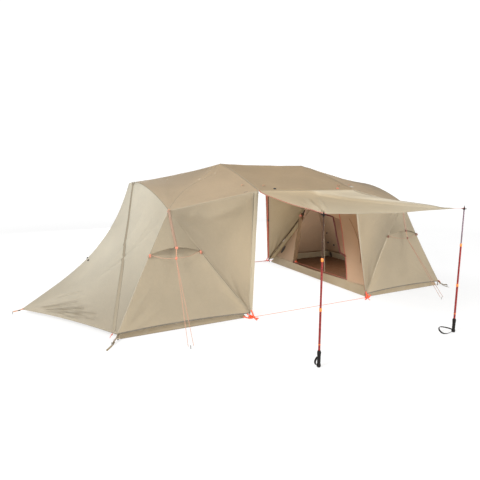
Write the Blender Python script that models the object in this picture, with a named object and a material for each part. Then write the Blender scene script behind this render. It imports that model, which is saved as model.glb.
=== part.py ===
"""Two-room tunnel tent with an open middle porch, one porch door raised as an awning.

Metres, +Z up, +X along the tent. The near side, with the awning, is -Y. All pieces hang
from one empty, so that the origin is under the middle of the whole outline.
"""
import math

import bmesh
import bpy
import numpy as np

# Driving dimensions of one pod, on the side of positive x and at the near side (y < 0).
HALF_WIDTH = 1.20
CORNER_IN_X = 0.80
CORNER_OUT_X = 2.14
HEM_IN_Z = 0.045
HEM_OUT_Z = 0.055
HUB = np.array([1.588, -1.0, 1.14])
END_PEAK = np.array([1.733, 0.0, 1.417])
RIDGE_PEAK = np.array([0.629, 0.0, 1.656])
SHOULDER = np.array([0.645, -1.075, 1.325])
TAIL_TIP = np.array([2.985, 0.0, 0.045])
STAKE_TAIL_X = 3.07
END_ARCH_POWER = 1.75
OUTER_BEND = 1.4
INNER_BEND = 1.6
HOOP_BULGE = 0.02
TAIL_HOLLOW = 0.47
TAIL_POWER = 3.2
TAIL_END = 0.985
ROOF_SAG = 0.02

# Points along the fly's edges, so that neighbouring sheets share theirs.
EAVE_POINTS = 9
ARCH_POINTS = 7
LEG_POINTS = 9
TAIL_POINTS = 9
HOOD_POINTS = (9, 6)

# Cloth and the gap that sewn neighbours keep.
CLOTH = 0.003
SEAM_GAP = 0.0003
KEY_SHIFT = 0.0000123
TIE = 0.000001

# Inner tents. Their feet stand inside the fly's corners by these steps.
FLOOR_WALL = 0.115
INNER_STEP_Y = 0.025
INNER_STEP_OUT = 0.01
INNER_STEP_IN = 0.035
INNER_ROWS = 7
INNER_HUB = np.array([1.60, -0.935, 1.075])
INNER_END_PEAK = np.array([1.70, 0.0, 1.36])
INNER_RIDGE_PEAK = np.array([0.70, 0.0, 1.575])
# Shares of the half width where the lines of an end wall run, from the near corner to the far one.
ACROSS = np.array([-1.0, -0.86, -0.70, -0.55, -0.40, -0.20, 0.0, 0.20, 0.38, 0.60, 0.80, 1.0])
DOOR_FIRST = 2
DOOR_LAST = 8
DOOR_ROWS = 5

# Poles. Each leg stands outside the fly's corner by a step along the tent, and inside it across.
POLE_R = 0.0045
POLE_CLEAR = 0.0005
FOOT_STEP_OUT = 0.022
FOOT_STEP_IN = 0.012
FOOT_STEP_Y = 0.008
LEG_DIP = 0.002
ARCH_POLE_POINTS = 13
PORCH_POLE_POINTS = 17
HUB_DEPTH = 0.019
PORCH_POLE_DROP = 0.018
HUB_R = 0.013
HUB_CLEAR = 0.0002

# The toggles that hold the inner tents up to the hubs.
TOGGLE_R = 0.004
TOGGLE_GAP = 0.0004

# Vent hoods and their guy lines.
VENT_TOP = 0.06
VENT_BOTTOM = 0.378
VENT_RISE = 0.055
VENT_STAND = 0.055
VENT_SEAT = 0.0049
GUY_CLIP = np.array([1.56, -1.125, 0.69])
GUY_STAKE = np.array([1.60, -1.645, 0.0])
LIP_GAP = 0.0007
CLIP_HALF = 0.01
CLIP_R = 0.006
CLIP_TAPER = 0.004
LINE_R = 0.0025
STAKE_R = 0.006
STAKE_H = 0.03

# Straps and cords at the corners, as steps from the corner that they start at, each with its radius.
STRAP_START = np.array([0.0, -0.0003, -0.0003])
STRAP_R = 0.0025
CORNER_STEPS = (
    ((0.012, -0.010, -0.025), STRAP_R),
    ((0.018, -0.016, -0.030), 0.010),
    ((0.030, -0.035, -0.040), 0.010),
    ((0.034, -0.040, -0.044), 0.003),
    ((0.060, -0.085, -0.025), STAKE_R),
    ((0.060, -0.090, -HEM_OUT_Z), STAKE_R),
)
CORD_STEPS = (
    ((-0.004, -0.012, -0.012), 0.003),
    ((-0.010, -0.018, -0.018), 0.012),
    ((-0.030, -0.022, -0.028), 0.012),
    ((-0.040, -0.024, -0.032), 0.002),
)
TAIL_STRAP_GAP = 0.0006
TAIL_STRAP_SEWN = 0.02
TAIL_STAKE_HALF = 0.02
TAIL_STAKE_LEAN = 0.004

# Awning and trekking poles.
AWNING_EDGE_Y = -2.37
AWNING_POWER = 0.6
AWNING_LEFT_X = -0.811
AWNING_RIGHT_X = 0.767
AWNING_CORNER_Z = 1.175
AWNING_FRONT_SAG = 0.02
TREK_HEIGHT = 1.2
SHAFT_R = 0.006
BASKET_R = 0.022
GROMMET_IN = 0.0075

# The far door, rolled up under its eave.
ROLL_R = 0.03
ROLL_HALF = 0.60
ROLL_INSET = 0.02
ROLL_GAP = 0.0005

# The origin is under the middle of the outline, which runs from the awning's pole baskets
# on the near side to the guy line stakes on the far side.
NEAR_REACH = -AWNING_EDGE_Y + BASKET_R
FAR_REACH = -GUY_STAKE[1] + STAKE_R * math.cos(math.radians(30.0))
SHIFT_Y = (NEAR_REACH - FAR_REACH) / 2.0

FLY = (0.55, 0.47, 0.34)
FLY_LIT = (0.62, 0.55, 0.42)
INNER = (0.45, 0.35, 0.24)
FLOOR = (0.20, 0.12, 0.07)
ORANGE = (0.80, 0.10, 0.02)
DARK = (0.03, 0.03, 0.03)
RED = (0.35, 0.02, 0.02)


def clear_scene():
    for obj in list(bpy.data.objects):
        bpy.data.objects.remove(obj, do_unlink=True)


def material(name, colour, roughness=0.7, metallic=0.0):
    mat = bpy.data.materials.new(name)
    mat.use_nodes = True
    shader = mat.node_tree.nodes["Principled BSDF"]
    shader.inputs["Base Color"].default_value = (*colour, 1.0)
    shader.inputs["Roughness"].default_value = roughness
    shader.inputs["Metallic"].default_value = metallic
    return mat


def unit(vectors):
    length = np.linalg.norm(vectors, axis=-1, keepdims=True)
    return vectors / np.maximum(length, 1e-12)


def place_key(point, digits=4):
    """A key that is the same for points that coincide. The shift keeps round sizes off its steps."""
    return tuple(np.round(np.asarray(point) + KEY_SHIFT, digits) + 0.0)


def mix(a, b, t):
    """Blend of a and b, with t as one more leading column of weights."""
    t = np.asarray(t, float)[..., None]
    return (1.0 - t) * a + t * b


# Curves of the fly. Each takes values from 0 to 1 and returns points.


def end_arch(t):
    """From the end peak (0) to the hub (1): z falls with a power of the distance from the middle."""
    points = mix(END_PEAK, HUB, t)
    points[..., 2] = END_PEAK[2] + (HUB[2] - END_PEAK[2]) * np.asarray(t) ** END_ARCH_POWER
    return points


def hoop(t):
    """From the ridge peak (0) to the shoulder (1): a straight fall with a slight bulge."""
    points = mix(RIDGE_PEAK, SHOULDER, t)
    points[..., 2] += HOOP_BULGE * 4.0 * np.asarray(t) * (1.0 - np.asarray(t))
    return points


def leg(top, foot, t, bend):
    """From the hub (0) to a foot (1): y grows with a power of the way down, so the leg bows."""
    points = mix(top, foot, t)
    points[..., 1] = top[1] + (foot[1] - top[1]) * np.asarray(t) ** bend
    return points


def outer_leg(t):
    return leg(HUB, np.array([CORNER_OUT_X, -HALF_WIDTH, HEM_OUT_Z]), t, OUTER_BEND)


def inner_leg(t):
    return leg(HUB, np.array([CORNER_IN_X, -HALF_WIDTH, HEM_IN_Z]), t, INNER_BEND)


# Surfaces of the fly, as grids of points.


def side_fan(columns, rows):
    """The big side panel: straight blends from the outer to the inner leg, from hub to hem."""
    u = np.linspace(0.0, 1.0, columns)[:, None]
    v = np.linspace(0.0, 1.0, rows)[None, :]
    outer = outer_leg(v)
    inner = inner_leg(v)
    return mix(outer, inner, u * np.ones_like(v))


def side_gusset(columns, rows):
    """Between the inner leg and the porch jamb: blends from the leg to the eave and jamb."""
    v = np.linspace(0.0, 1.0, rows)[None, :]
    u = np.linspace(0.0, 1.0, columns)[:, None]
    fold = inner_leg(v)
    foot = fold[:, -1:, :]
    jamb = mix(SHOULDER, foot, v)
    return mix(fold, jamb, u * np.ones_like(v))


def roof_sag(u, t):
    """Sag of a pod's roof: none at the arches and the eave, most on the ridge between them."""
    return ROOF_SAG * 4.0 * u * (1.0 - u) * (1.0 - t ** 2)


def pod_roof(columns, rows, side):
    """From end arch to hoop, on one side of the ridge; the middle sags."""
    u = np.linspace(0.0, 1.0, columns)[:, None]
    t = np.linspace(0.0, 1.0, rows)[None, :]
    points = mix(end_arch(t), hoop(t), u * np.ones_like(t))
    points[..., 2] -= roof_sag(u, t)
    points[..., 1] *= side
    return points


def porch_roof(columns, rows, side):
    """Between the two hoops, level from end to end."""
    u = np.linspace(-1.0, 1.0, columns)[:, None]
    t = np.linspace(0.0, 1.0, rows)[None, :]
    edge = hoop(t)
    points = np.repeat(edge, columns, axis=0)
    points[..., 0] *= u
    points[..., 1] *= side
    return points


def tail_edge(rows_arch, rows_leg):
    """The seam that carries the tail: end arch, then outer leg."""
    arch = end_arch(np.linspace(0.0, 1.0, rows_arch))
    down = outer_leg(np.linspace(0.0, 1.0, rows_leg))
    return np.concatenate([arch, down[1:]])


def tail_side(columns, rows_arch, rows_leg, side):
    """Lines from the seam to the tail's tip; their height falls as a mix of q and a power of q."""
    edge = tail_edge(rows_arch, rows_leg)
    count = len(edge)
    hollow = TAIL_HOLLOW * np.cos(0.5 * math.pi * np.linspace(0.0, 1.0, count)) ** 0.8
    q = np.linspace(1.0, 1.0 - TAIL_END, columns)[:, None]
    points = mix(TAIL_TIP, edge[None, :, :], q * np.ones((1, count)))
    fall = hollow[None, :] * q ** TAIL_POWER + (1.0 - hollow[None, :]) * q
    points[..., 2] = TAIL_TIP[2] + (edge[None, :, 2] - TAIL_TIP[2]) * fall
    points[..., 1] *= side
    return points


def awning_sheet(columns, rows):
    """From the near eave to the two trekking poles: height falls with a power of the way out."""
    u = np.linspace(0.0, 1.0, columns)[:, None]
    v = np.linspace(0.0, 1.0, rows)[None, :]
    eave_x = -SHOULDER[0] + 2.0 * SHOULDER[0] * u
    left = AWNING_LEFT_X + GROMMET_IN
    right = AWNING_RIGHT_X - GROMMET_IN
    front_x = left + (right - left) * u
    x = eave_x + (front_x - eave_x) * v
    y = SHOULDER[1] + (AWNING_EDGE_Y - SHOULDER[1]) * v
    y = y * np.ones_like(x)
    z = SHOULDER[2] + (AWNING_CORNER_Z - SHOULDER[2]) * v ** AWNING_POWER
    z = z - AWNING_FRONT_SAG * (4.0 * u * (1.0 - u)) ** 2 * v
    return np.stack([x, y, z * np.ones_like(x)], axis=-1)


def hood_sheet(columns, rows):
    """A hood over the side panel: its lower lip stands off the panel, most at the middle."""
    u = np.linspace(0.0, 1.0, columns)[:, None]
    v = np.linspace(VENT_TOP, VENT_BOTTOM, rows)[None, :]
    arch = 4.0 * u * (1.0 - u)
    depth = v - VENT_RISE * arch * (v / VENT_BOTTOM) ** 2
    points = mix(outer_leg(depth), inner_leg(depth), u * np.ones_like(v))
    reach = (v - VENT_TOP) / (VENT_BOTTOM - VENT_TOP)
    points[..., 1] -= VENT_SEAT + VENT_STAND * arch * reach ** 1.5
    return points


# Surfaces of an inner tent.


def inner_foot(corner_x):
    return np.array([corner_x, -HALF_WIDTH + INNER_STEP_Y, 0.0])


def inner_leg_out(t):
    return leg(INNER_HUB, inner_foot(CORNER_OUT_X - INNER_STEP_OUT), t, OUTER_BEND)


def inner_leg_in(t):
    return leg(INNER_HUB, inner_foot(CORNER_IN_X + INNER_STEP_IN), t, INNER_BEND)


def crossing(t):
    """The diagonal of the pod's roof, from the ridge peak (0) to the hub (1)."""
    t = np.asarray(t, float)
    points = mix(hoop(t), end_arch(t), t)
    points[..., 2] -= roof_sag(t, t)
    return points


def inner_end_arch(t):
    """The inner tent's edge below the end arch, from its peak (0) to its hub corner (1)."""
    points = mix(INNER_END_PEAK, INNER_HUB, t)
    points[..., 2] = INNER_END_PEAK[2] + (INNER_HUB[2] - INNER_END_PEAK[2]) * np.asarray(t) ** END_ARCH_POWER
    return points


def inner_porch_arch(t):
    """The inner tent's edge below the porch pole: the roof's diagonal, let down."""
    points = mix(INNER_RIDGE_PEAK, INNER_HUB, t)
    drop = mix(RIDGE_PEAK - INNER_RIDGE_PEAK, HUB - INNER_HUB, t)[..., 2]
    points[..., 2] = crossing(t)[..., 2] - drop
    return points


def inner_side(columns, heights):
    """A side wall, from the floor's edge up to the hub corner."""
    u = np.linspace(0.0, 1.0, columns)[:, None]
    t = 1.0 - np.asarray(heights)[None, :]
    return mix(inner_leg_out(t), inner_leg_in(t), u * np.ones_like(t))


def wall_grid(across, heights, top_line, corner_line):
    """An end wall. Lines of equal share of the half width run from the floor to the arch."""
    a = across[:, None] + 0.0 * heights
    share = np.abs(a)
    foot = corner_line(np.ones(1))[0]
    bottom = np.stack([foot[0] + 0.0 * a, -foot[1] * a, 0.0 * a], axis=-1)
    top = top_line(share)
    top[..., 1] *= -np.sign(a)
    bow = corner_line(1.0 - heights) - mix(foot, INNER_HUB, heights)
    bow[..., 1] *= -np.sign(a)
    return mix(bottom, top, heights) + bow * share[..., None]


def ruled_roof(columns):
    """The inner tent's roof: straight lines from its end arch to its porch arch."""
    u = np.linspace(0.0, 1.0, columns)[:, None]
    share = np.abs(ACROSS)[None, :]
    points = mix(inner_end_arch(share), inner_porch_arch(share), u + 0.0 * share)
    points[..., 1] *= -np.sign(ACROSS)
    return points


# Turning grids into closed cloth.


def mirrored(points, pod):
    """The same points for the other pod (pod = -1)."""
    return points * np.array([pod, 1.0, 1.0])


def far(points):
    return points * np.array([1.0, -1.0, 1.0])


class Cloth:
    """A sheet made of grids that share edges, with one outer side."""

    def __init__(self, inside):
        self.inside = np.asarray(inside, float)
        self.points = []
        self.faces = []
        self.keys = {}

    def vertex(self, point):
        key = place_key(point, 5)
        if key not in self.keys:
            self.keys[key] = len(self.points)
            self.points.append(np.asarray(point, float))
        return self.keys[key]

    def split(self, ring):
        """Two triangles along a quad's shorter diagonal, so that both faces of the cloth bend along it."""
        a, b, c, d = [self.points[v] for v in ring]
        if np.linalg.norm(c - a) <= np.linalg.norm(d - b) + TIE:
            return [[ring[0], ring[1], ring[2]], [ring[0], ring[2], ring[3]]]
        return [[ring[0], ring[1], ring[3]], [ring[1], ring[2], ring[3]]]

    def add(self, grid, keep=None):
        columns, rows = grid.shape[:2]
        index = [[self.vertex(grid[i, j]) for j in range(rows)] for i in range(columns)]
        faces = []
        for i in range(columns - 1):
            for j in range(rows - 1):
                if keep is not None and not keep(i, j):
                    continue
                ring = [index[i][j], index[i + 1][j], index[i + 1][j + 1], index[i][j + 1]]
                ring = [v for k, v in enumerate(ring) if v not in ring[:k]]
                if len(ring) == 4:
                    faces.extend(self.split(ring))
                elif len(ring) == 3:
                    faces.append(ring)
        points = np.array(self.points)
        total = 0.0
        for ring in faces:
            corner = points[ring]
            normal = np.cross(corner[1] - corner[0], corner[2] - corner[0])
            total += float(np.dot(normal, corner.mean(axis=0) - self.inside))
        if total < 0.0:
            faces = [ring[::-1] for ring in faces]
        self.faces.extend(faces)

    def normals(self):
        """Area-weighted normals at the vertices."""
        points = np.array(self.points)
        result = np.zeros_like(points)
        for ring in self.faces:
            corner = points[ring]
            result[ring] += np.cross(corner[1] - corner[0], corner[2] - corner[0])
        return unit(result)


def shared_normals(sheets):
    """Neighbouring sheets get one normal at each point that they share, so seams are mitred."""
    totals = {}
    for sheet in sheets:
        for point, normal in zip(sheet.points, sheet.normals()):
            key = place_key(point)
            totals[key] = totals.get(key, 0.0) + normal
    for sheet in sheets:
        keys = [place_key(point) for point in sheet.points]
        sheet.offset = unit(np.array([totals[key] for key in keys]))


def add_object(name, mesh, mat, root, smooth=True):
    obj = bpy.data.objects.new(name, mesh)
    bpy.context.collection.objects.link(obj)
    mesh.materials.append(mat)
    if smooth:
        mesh.shade_smooth()
        mesh.set_sharp_from_angle(angle=math.radians(35.0))
    obj.parent = root
    return obj


def cloth_object(name, sheet, mat, root, thickness=CLOTH):
    """Thicken a sheet inwards along its shared normals and draw its rim in by the seam gap."""
    outer = np.array(sheet.points)
    count = len(outer)
    edges = {}
    for ring in sheet.faces:
        for a, b in zip(ring, ring[1:] + ring[:1]):
            edges[(a, b)] = edges.get((a, b), 0) + 1
    rim = [(a, b) for (a, b) in edges if (b, a) not in edges]
    pull = np.zeros_like(outer)
    for ring in sheet.faces:
        middle = outer[ring].mean(axis=0)
        for v in ring:
            pull[v] += unit(middle - outer[v])
    shift = np.zeros_like(outer)
    rim_vertices = sorted({v for edge in rim for v in edge})
    shift[rim_vertices] = unit(pull[rim_vertices]) * SEAM_GAP * 2.0
    inner = outer - sheet.offset * thickness
    points = np.concatenate([outer + shift, inner + shift])
    faces = [list(ring) for ring in sheet.faces]
    faces += [[v + count for v in ring[::-1]] for ring in sheet.faces]
    faces += [[b, a, a + count, b + count] for a, b in rim]
    mesh = bpy.data.meshes.new(name)
    mesh.from_pydata(points.tolist(), [], faces)
    mesh.update()
    return add_object(name, mesh, mat, root)


def tube_points(path, radii, sides, first):
    """Rings of points round a path. Side 0 of each ring looks along the vector first."""
    path = np.asarray(path, float)
    radii = np.asarray(radii, float)
    along = np.zeros_like(path)
    along[1:-1] = unit(path[2:] - path[:-2])
    along[0] = unit(path[1] - path[0])
    along[-1] = unit(path[-1] - path[-2])
    first = np.asarray(first, float) * np.ones_like(path)
    across = unit(first - along * np.sum(first * along, axis=1, keepdims=True))
    third = np.cross(along, across)
    angle = np.arange(sides) * 2.0 * math.pi / sides
    ring = across[:, None, :] * np.cos(angle)[None, :, None] + third[:, None, :] * np.sin(angle)[None, :, None]
    return path[:, None, :] + ring * radii[:, None, None]


def tube_mesh(name, path, radii, sides=6, first=(0.0, 0.0, 1.0), stands=False):
    """A closed tube along a path, with its own radius at each point. Its last end can stand flat."""
    rings = tube_points(path, radii, sides, first)
    if stands:
        rings[-1, :, 2] = path[-1][2]
    count = len(rings)
    mesh = bpy.data.meshes.new(name)
    build = bmesh.new()
    grid = [[build.verts.new(point) for point in ring] for ring in rings.tolist()]
    for i in range(count - 1):
        for j in range(sides):
            k = (j + 1) % sides
            build.faces.new([grid[i][j], grid[i][k], grid[i + 1][k], grid[i + 1][j]])
    build.faces.new(grid[0][::-1])
    build.faces.new(grid[-1])
    build.normal_update()
    build.to_mesh(mesh)
    build.free()
    return mesh


def tube_object(name, path, radii, mat, root, sides=6, first=(0.0, 0.0, 1.0), stands=False):
    return add_object(name, tube_mesh(name, path, radii, sides, first, stands), mat, root)


def pole_under(points, normals, depth):
    """A pole's centre line below the cloth's inner face."""
    return points - normals * np.asarray(depth)[..., None]


# Assemblies.


def fly_pod(pod):
    """The sheets of one pod's fly, by name."""
    inside = np.array([1.4 * pod, 0.0, 0.5])
    roof = Cloth(inside)
    for side in (1.0, -1.0):
        roof.add(mirrored(pod_roof(EAVE_POINTS, ARCH_POINTS, side), pod))
    tail = Cloth(np.array([1.9 * pod, 0.0, 0.1]))
    for side in (1.0, -1.0):
        tail.add(mirrored(tail_side(TAIL_POINTS, ARCH_POINTS, LEG_POINTS, side), pod))
    sides = {}
    for name in ("near", "far"):
        sheet = Cloth(inside)
        for grid in (side_fan(EAVE_POINTS, LEG_POINTS), side_gusset(EAVE_POINTS, LEG_POINTS)):
            if name == "far":
                grid = far(grid)
            sheet.add(mirrored(grid, pod))
        sides[name] = sheet
    return {"roof": roof, "tail": tail, "side_near": sides["near"], "side_far": sides["far"]}


def offsets_along(sheets, points):
    """The shared normals of a group of sheets at given points."""
    table = {}
    for sheet in sheets:
        for point, normal in zip(sheet.points, sheet.offset):
            table[place_key(point)] = normal
    return np.array([table[place_key(point)] for point in points])


def frame_poles(pod, pod_name, sheets, mat, root):
    """End arch, porch arch, and at each side a hub with two legs and the inner tent's toggle."""
    base = CLOTH + POLE_R + POLE_CLEAR
    hubs = {}
    for side_name, side in (("near", 1.0), ("far", -1.0)):
        flip = np.array([pod, side, 1.0])
        corner = HUB * flip
        hub_normal = offsets_along(sheets, [corner])[0]
        centre = corner - hub_normal * (CLOTH + HUB_DEPTH)
        hubs[side_name] = (centre, hub_normal)
        pieces = []
        feet = ((outer_leg, CORNER_OUT_X + FOOT_STEP_OUT), (inner_leg, CORNER_IN_X + FOOT_STEP_IN))
        for curve, foot_x in feet:
            t = np.linspace(0.0, 1.0, LEG_POINTS)
            points = curve(t) * flip
            normals = offsets_along(sheets, points)
            line = pole_under(points, normals, base + 0.0 * t)
            line[0] = centre
            line[1] = line[1] - normals[1] * LEG_DIP
            foot = np.array([foot_x, -HALF_WIDTH + FOOT_STEP_Y, 0.0]) * flip
            line = np.concatenate([line, [foot]])
            facing = np.concatenate([normals, normals[-1:]])
            pieces.append(tube_mesh("leg", line, np.full(len(line), POLE_R), 6, facing, stands=True))
        toggle_end = INNER_HUB * flip
        toggle_end = toggle_end + unit(centre - toggle_end) * TOGGLE_GAP
        pieces.append(tube_mesh("toggle", [centre, toggle_end], [TOGGLE_R, TOGGLE_R]))
        hub = bpy.data.meshes.new("hub")
        build = bmesh.new()
        bmesh.ops.create_icosphere(build, subdivisions=2, radius=HUB_R)
        bmesh.ops.translate(build, vec=centre.tolist(), verts=build.verts)
        build.to_mesh(hub)
        build.free()
        name = "legs_%s_%s" % (side_name, pod_name)
        main = add_object(name, hub, mat, root)
        for k, piece in enumerate(pieces):
            tool = add_object("%s_tool_%d" % (name, k), piece, mat, root)
            tool.hide_render = True
            tool.display_type = "WIRE"
            join = main.modifiers.new("join_%d" % k, "BOOLEAN")
            join.operation = "UNION"
            join.solver = "EXACT"
            join.object = tool
    reach = HUB_R + HUB_CLEAR
    t = np.linspace(-1.0, 1.0, ARCH_POLE_POINTS)
    points = end_arch(np.abs(t))
    points[:, 1] *= -np.sign(t)
    points *= np.array([pod, -1.0, 1.0])
    normals = offsets_along(sheets, points)
    line = pole_under(points, normals, base + 0.0 * t)
    trim_to_hubs(line, hubs, reach)
    tube_object("end_arch_" + pod_name, line, np.full(len(line), POLE_R), mat, root, 6, normals)
    t = np.linspace(-1.0, 1.0, PORCH_POLE_POINTS)
    line = crossing(np.abs(t))
    line[:, 2] -= PORCH_POLE_DROP
    line[:, 1] *= -np.sign(t)
    line *= np.array([pod, 1.0, 1.0])
    trim_to_hubs(line, hubs, reach)
    tube_object("porch_arch_" + pod_name, line, np.full(len(line), POLE_R), mat, root)


def trim_to_hubs(line, hubs, reach):
    """Bring a line's two ends to the faces of the hubs that they plug into."""
    for end, inner in ((0, 1), (-1, -2)):
        nearest = min(hubs.values(), key=lambda hub: np.linalg.norm(hub[0] - line[end]))
        line[end] = nearest[0] + unit(line[inner] - nearest[0]) * reach


def vent_hood(pod, pod_name, side, side_name, mat, root):
    flip = np.array([pod, side, 1.0])
    sheet = Cloth(np.array([1.5 * pod, 0.0, 0.6]))
    sheet.add(hood_sheet(*HOOD_POINTS) * flip)
    sheet.offset = sheet.normals()
    cloth_object("vent_hood_%s_%s" % (side_name, pod_name), sheet, mat, root)


def guy_line(pod, pod_name, side, side_name, mat, root):
    """From the hood's lip down through its clip to a stake, pulled straight."""
    flip = np.array([pod, side, 1.0])
    lip = hood_sheet(*HOOD_POINTS)[HOOD_POINTS[0] // 2, -1]
    start = lip + np.array([0.0, 0.0, -LIP_GAP])
    clip = GUY_CLIP
    stake = GUY_STAKE + np.array([0.0, 0.0, STAKE_H])
    path = np.array([
        start,
        mix(start, clip, 0.5),
        clip + np.array([0.0, 0.0, CLIP_HALF + CLIP_TAPER / 2.0]),
        clip + np.array([0.0, 0.0, CLIP_HALF]),
        clip - np.array([0.0, 0.0, CLIP_HALF]),
        clip - np.array([0.0, CLIP_TAPER, CLIP_HALF + CLIP_TAPER]),
        mix(clip, stake, 0.5),
        stake + np.array([0.0, CLIP_TAPER, STAKE_R]),
        stake,
        GUY_STAKE,
    ])
    radii = [LINE_R, LINE_R, LINE_R, CLIP_R, CLIP_R, LINE_R, LINE_R, LINE_R, STAKE_R, STAKE_R]
    name = "guy_line_%s_%s" % (side_name, pod_name)
    tube_object(name, path * flip, radii, mat, root, 6, (1.0, 0.0, 0.0))


def corner_strap(pod, pod_name, side, side_name, mat, root):
    """Webbing from the fly's outer corner through a buckle to its stake."""
    flip = np.array([pod, side, 1.0])
    corner = np.array([CORNER_OUT_X, -HALF_WIDTH, HEM_OUT_Z])
    path = corner + np.array([STRAP_START] + [step for step, r in CORNER_STEPS])
    radii = [STRAP_R] + [r for step, r in CORNER_STEPS]
    name = "corner_strap_%s_%s" % (side_name, pod_name)
    tube_object(name, path * flip, radii, mat, root, 6, (1.0, 0.0, 0.0), stands=True)


def ground_cord(side, side_name, mat, root):
    """Taut cord between the two inner corners of one side, with a buckle at each."""
    flip = np.array([1.0, side, 1.0])
    corner = np.array([CORNER_IN_X, -HALF_WIDTH, HEM_IN_Z])
    half = corner + np.array([STRAP_START] + [step for step, r in CORD_STEPS])
    radii = [STRAP_R] + [r for step, r in CORD_STEPS]
    path = np.concatenate([half, mirrored(half, -1.0)[::-1]])
    tube_object("ground_cord_" + side_name, path * flip, radii + radii[::-1], mat, root, 6, (0.0, 0.0, 1.0))


def tail_stake(pod, pod_name, mat, root):
    """Webbing from under the tip of the tail to its stake."""
    ridge = tail_side(TAIL_POINTS, ARCH_POINTS, LEG_POINTS, 1.0)[:, 0]
    inwards = unit(ridge[-2] - ridge[-1])
    downwards = np.array([inwards[2], 0.0, -inwards[0]])
    if downwards[2] > 0.0:
        downwards = -downwards
    edge = ridge[-1] + downwards * (CLOTH + STRAP_R + TAIL_STRAP_GAP)
    path = np.array([
        edge + inwards * TAIL_STRAP_SEWN,
        edge,
        [STAKE_TAIL_X - TAIL_STAKE_HALF, 0.0, STAKE_H],
        [STAKE_TAIL_X, 0.0, STAKE_H],
        [STAKE_TAIL_X + TAIL_STAKE_LEAN, 0.0, 0.0],
    ])
    radii = [STRAP_R, STRAP_R, STRAP_R, STAKE_R, STAKE_R]
    name = "tail_stake_" + pod_name
    tube_object(name, mirrored(path, pod), radii, mat, root, 6, (0.0, 1.0, 0.0), stands=True)


def inner_tent(pod):
    """Floor tray, porch wall with its door opening, and the canopy: roof, sides and back wall."""
    inside = np.array([1.45 * pod, 0.0, 0.45])
    low = FLOOR_WALL / INNER_HUB[2]
    floor = Cloth(np.array([1.45 * pod, 0.0, 3.0]))
    canopy = Cloth(inside)
    porch_wall = Cloth(inside)
    for side in (1.0, -1.0):
        flip = np.array([pod, side, 1.0])
        canopy.add(inner_side(EAVE_POINTS, np.linspace(low, 1.0, INNER_ROWS)) * flip)
    canopy.add(mirrored(ruled_roof(INNER_ROWS), pod))
    canopy.add(mirrored(end_wall(inner_end_arch, inner_leg_out, INNER_ROWS), pod))
    porch_wall.add(mirrored(end_wall(inner_porch_arch, inner_leg_in, INNER_ROWS), pod), keep=beside_door)
    make_tray(floor, pod)
    return {"floor": floor, "canopy": canopy, "porch_wall": porch_wall}


def end_wall(top_line, corner_line, rows):
    """An end wall above the floor tray, whose top is at one level all the way across."""
    top = top_line(np.abs(ACROSS))[..., 2]
    first = (FLOOR_WALL / top)[:, None]
    share = np.linspace(0.0, 1.0, rows)[None, :]
    return wall_grid(ACROSS, first + (1.0 - first) * share, top_line, corner_line)


def beside_door(i, j):
    """False in the cells of the wall that the door opening takes."""
    return not (DOOR_FIRST <= i < DOOR_LAST and j < DOOR_ROWS)


def make_tray(floor, pod):
    """Flat floor with upright sides that follow the inner tent's walls."""
    u = np.linspace(0.0, 1.0, EAVE_POINTS)[:, None]
    low = FLOOR_WALL / INNER_HUB[2]
    out_foot = inner_leg_out(np.ones(1))[0]
    in_foot = inner_leg_in(np.ones(1))[0]
    x = out_foot[0] + (in_foot[0] - out_foot[0]) * u + 0.0 * ACROSS[None, :]
    y = -out_foot[1] * ACROSS[None, :] + 0.0 * x
    floor.add(mirrored(np.stack([x, y, 0.0 * x], axis=-1), pod))
    floor.inside = np.array([1.45 * pod, 0.0, 0.05])
    for side in (1.0, -1.0):
        floor.add(inner_side(EAVE_POINTS, np.array([0.0, low])) * np.array([pod, side, 1.0]))
    for top_line, line in ((inner_porch_arch, inner_leg_in), (inner_end_arch, inner_leg_out)):
        top = top_line(np.abs(ACROSS))[..., 2]
        heights = np.stack([0.0 * top, FLOOR_WALL / top], axis=1)
        floor.add(mirrored(wall_grid(ACROSS, heights, top_line, line), pod))


def trekking_pole(name, x, mat, root):
    """A pole stood upside down: grip on the ground, basket under the awning's corner, tip through it."""
    basket_top = AWNING_CORNER_Z - CLOTH - POLE_CLEAR
    profile = [
        (0.0, 0.014), (0.004, 0.017), (0.10, 0.015), (0.125, 0.018), (0.14, 0.009),
        (0.40, 0.009), (0.402, 0.011), (0.44, 0.011), (0.442, 0.008),
        (0.78, 0.008), (0.782, 0.010), (0.81, 0.010), (0.812, SHAFT_R),
        (basket_top - 0.009, SHAFT_R), (basket_top - 0.007, BASKET_R), (basket_top, BASKET_R),
        (basket_top + 0.0002, SHAFT_R), (TREK_HEIGHT - 0.015, 0.004), (TREK_HEIGHT, 0.002),
    ]
    path = np.array([[x, AWNING_EDGE_Y, z] for z, r in profile])
    radii = [r for z, r in profile]
    return tube_object(name, path, radii, mat, root, 12, (1.0, 0.0, 0.0))


def rolled_door(mat, root):
    """The far door, rolled up and tied just inside the far eave."""
    last_step = 1.0 / (ARCH_POINTS - 1)
    eave, above = far(hoop(np.array([1.0, 1.0 - last_step])))
    slope = unit((above - eave) * np.array([0.0, 1.0, 1.0]))
    outwards = np.array([0.0, -slope[2], slope[1]])
    if outwards[2] < 0.0:
        outwards = -outwards
    middle = eave + slope * ROLL_INSET - outwards * (CLOTH + ROLL_R + ROLL_GAP)
    x = np.linspace(-ROLL_HALF, ROLL_HALF, EAVE_POINTS)
    path = middle * np.array([0.0, 1.0, 1.0]) + x[:, None] * np.array([1.0, 0.0, 0.0])
    tube_object("far_door_roll", path, np.full(len(path), ROLL_R), mat, root, 10, outwards)


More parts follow.
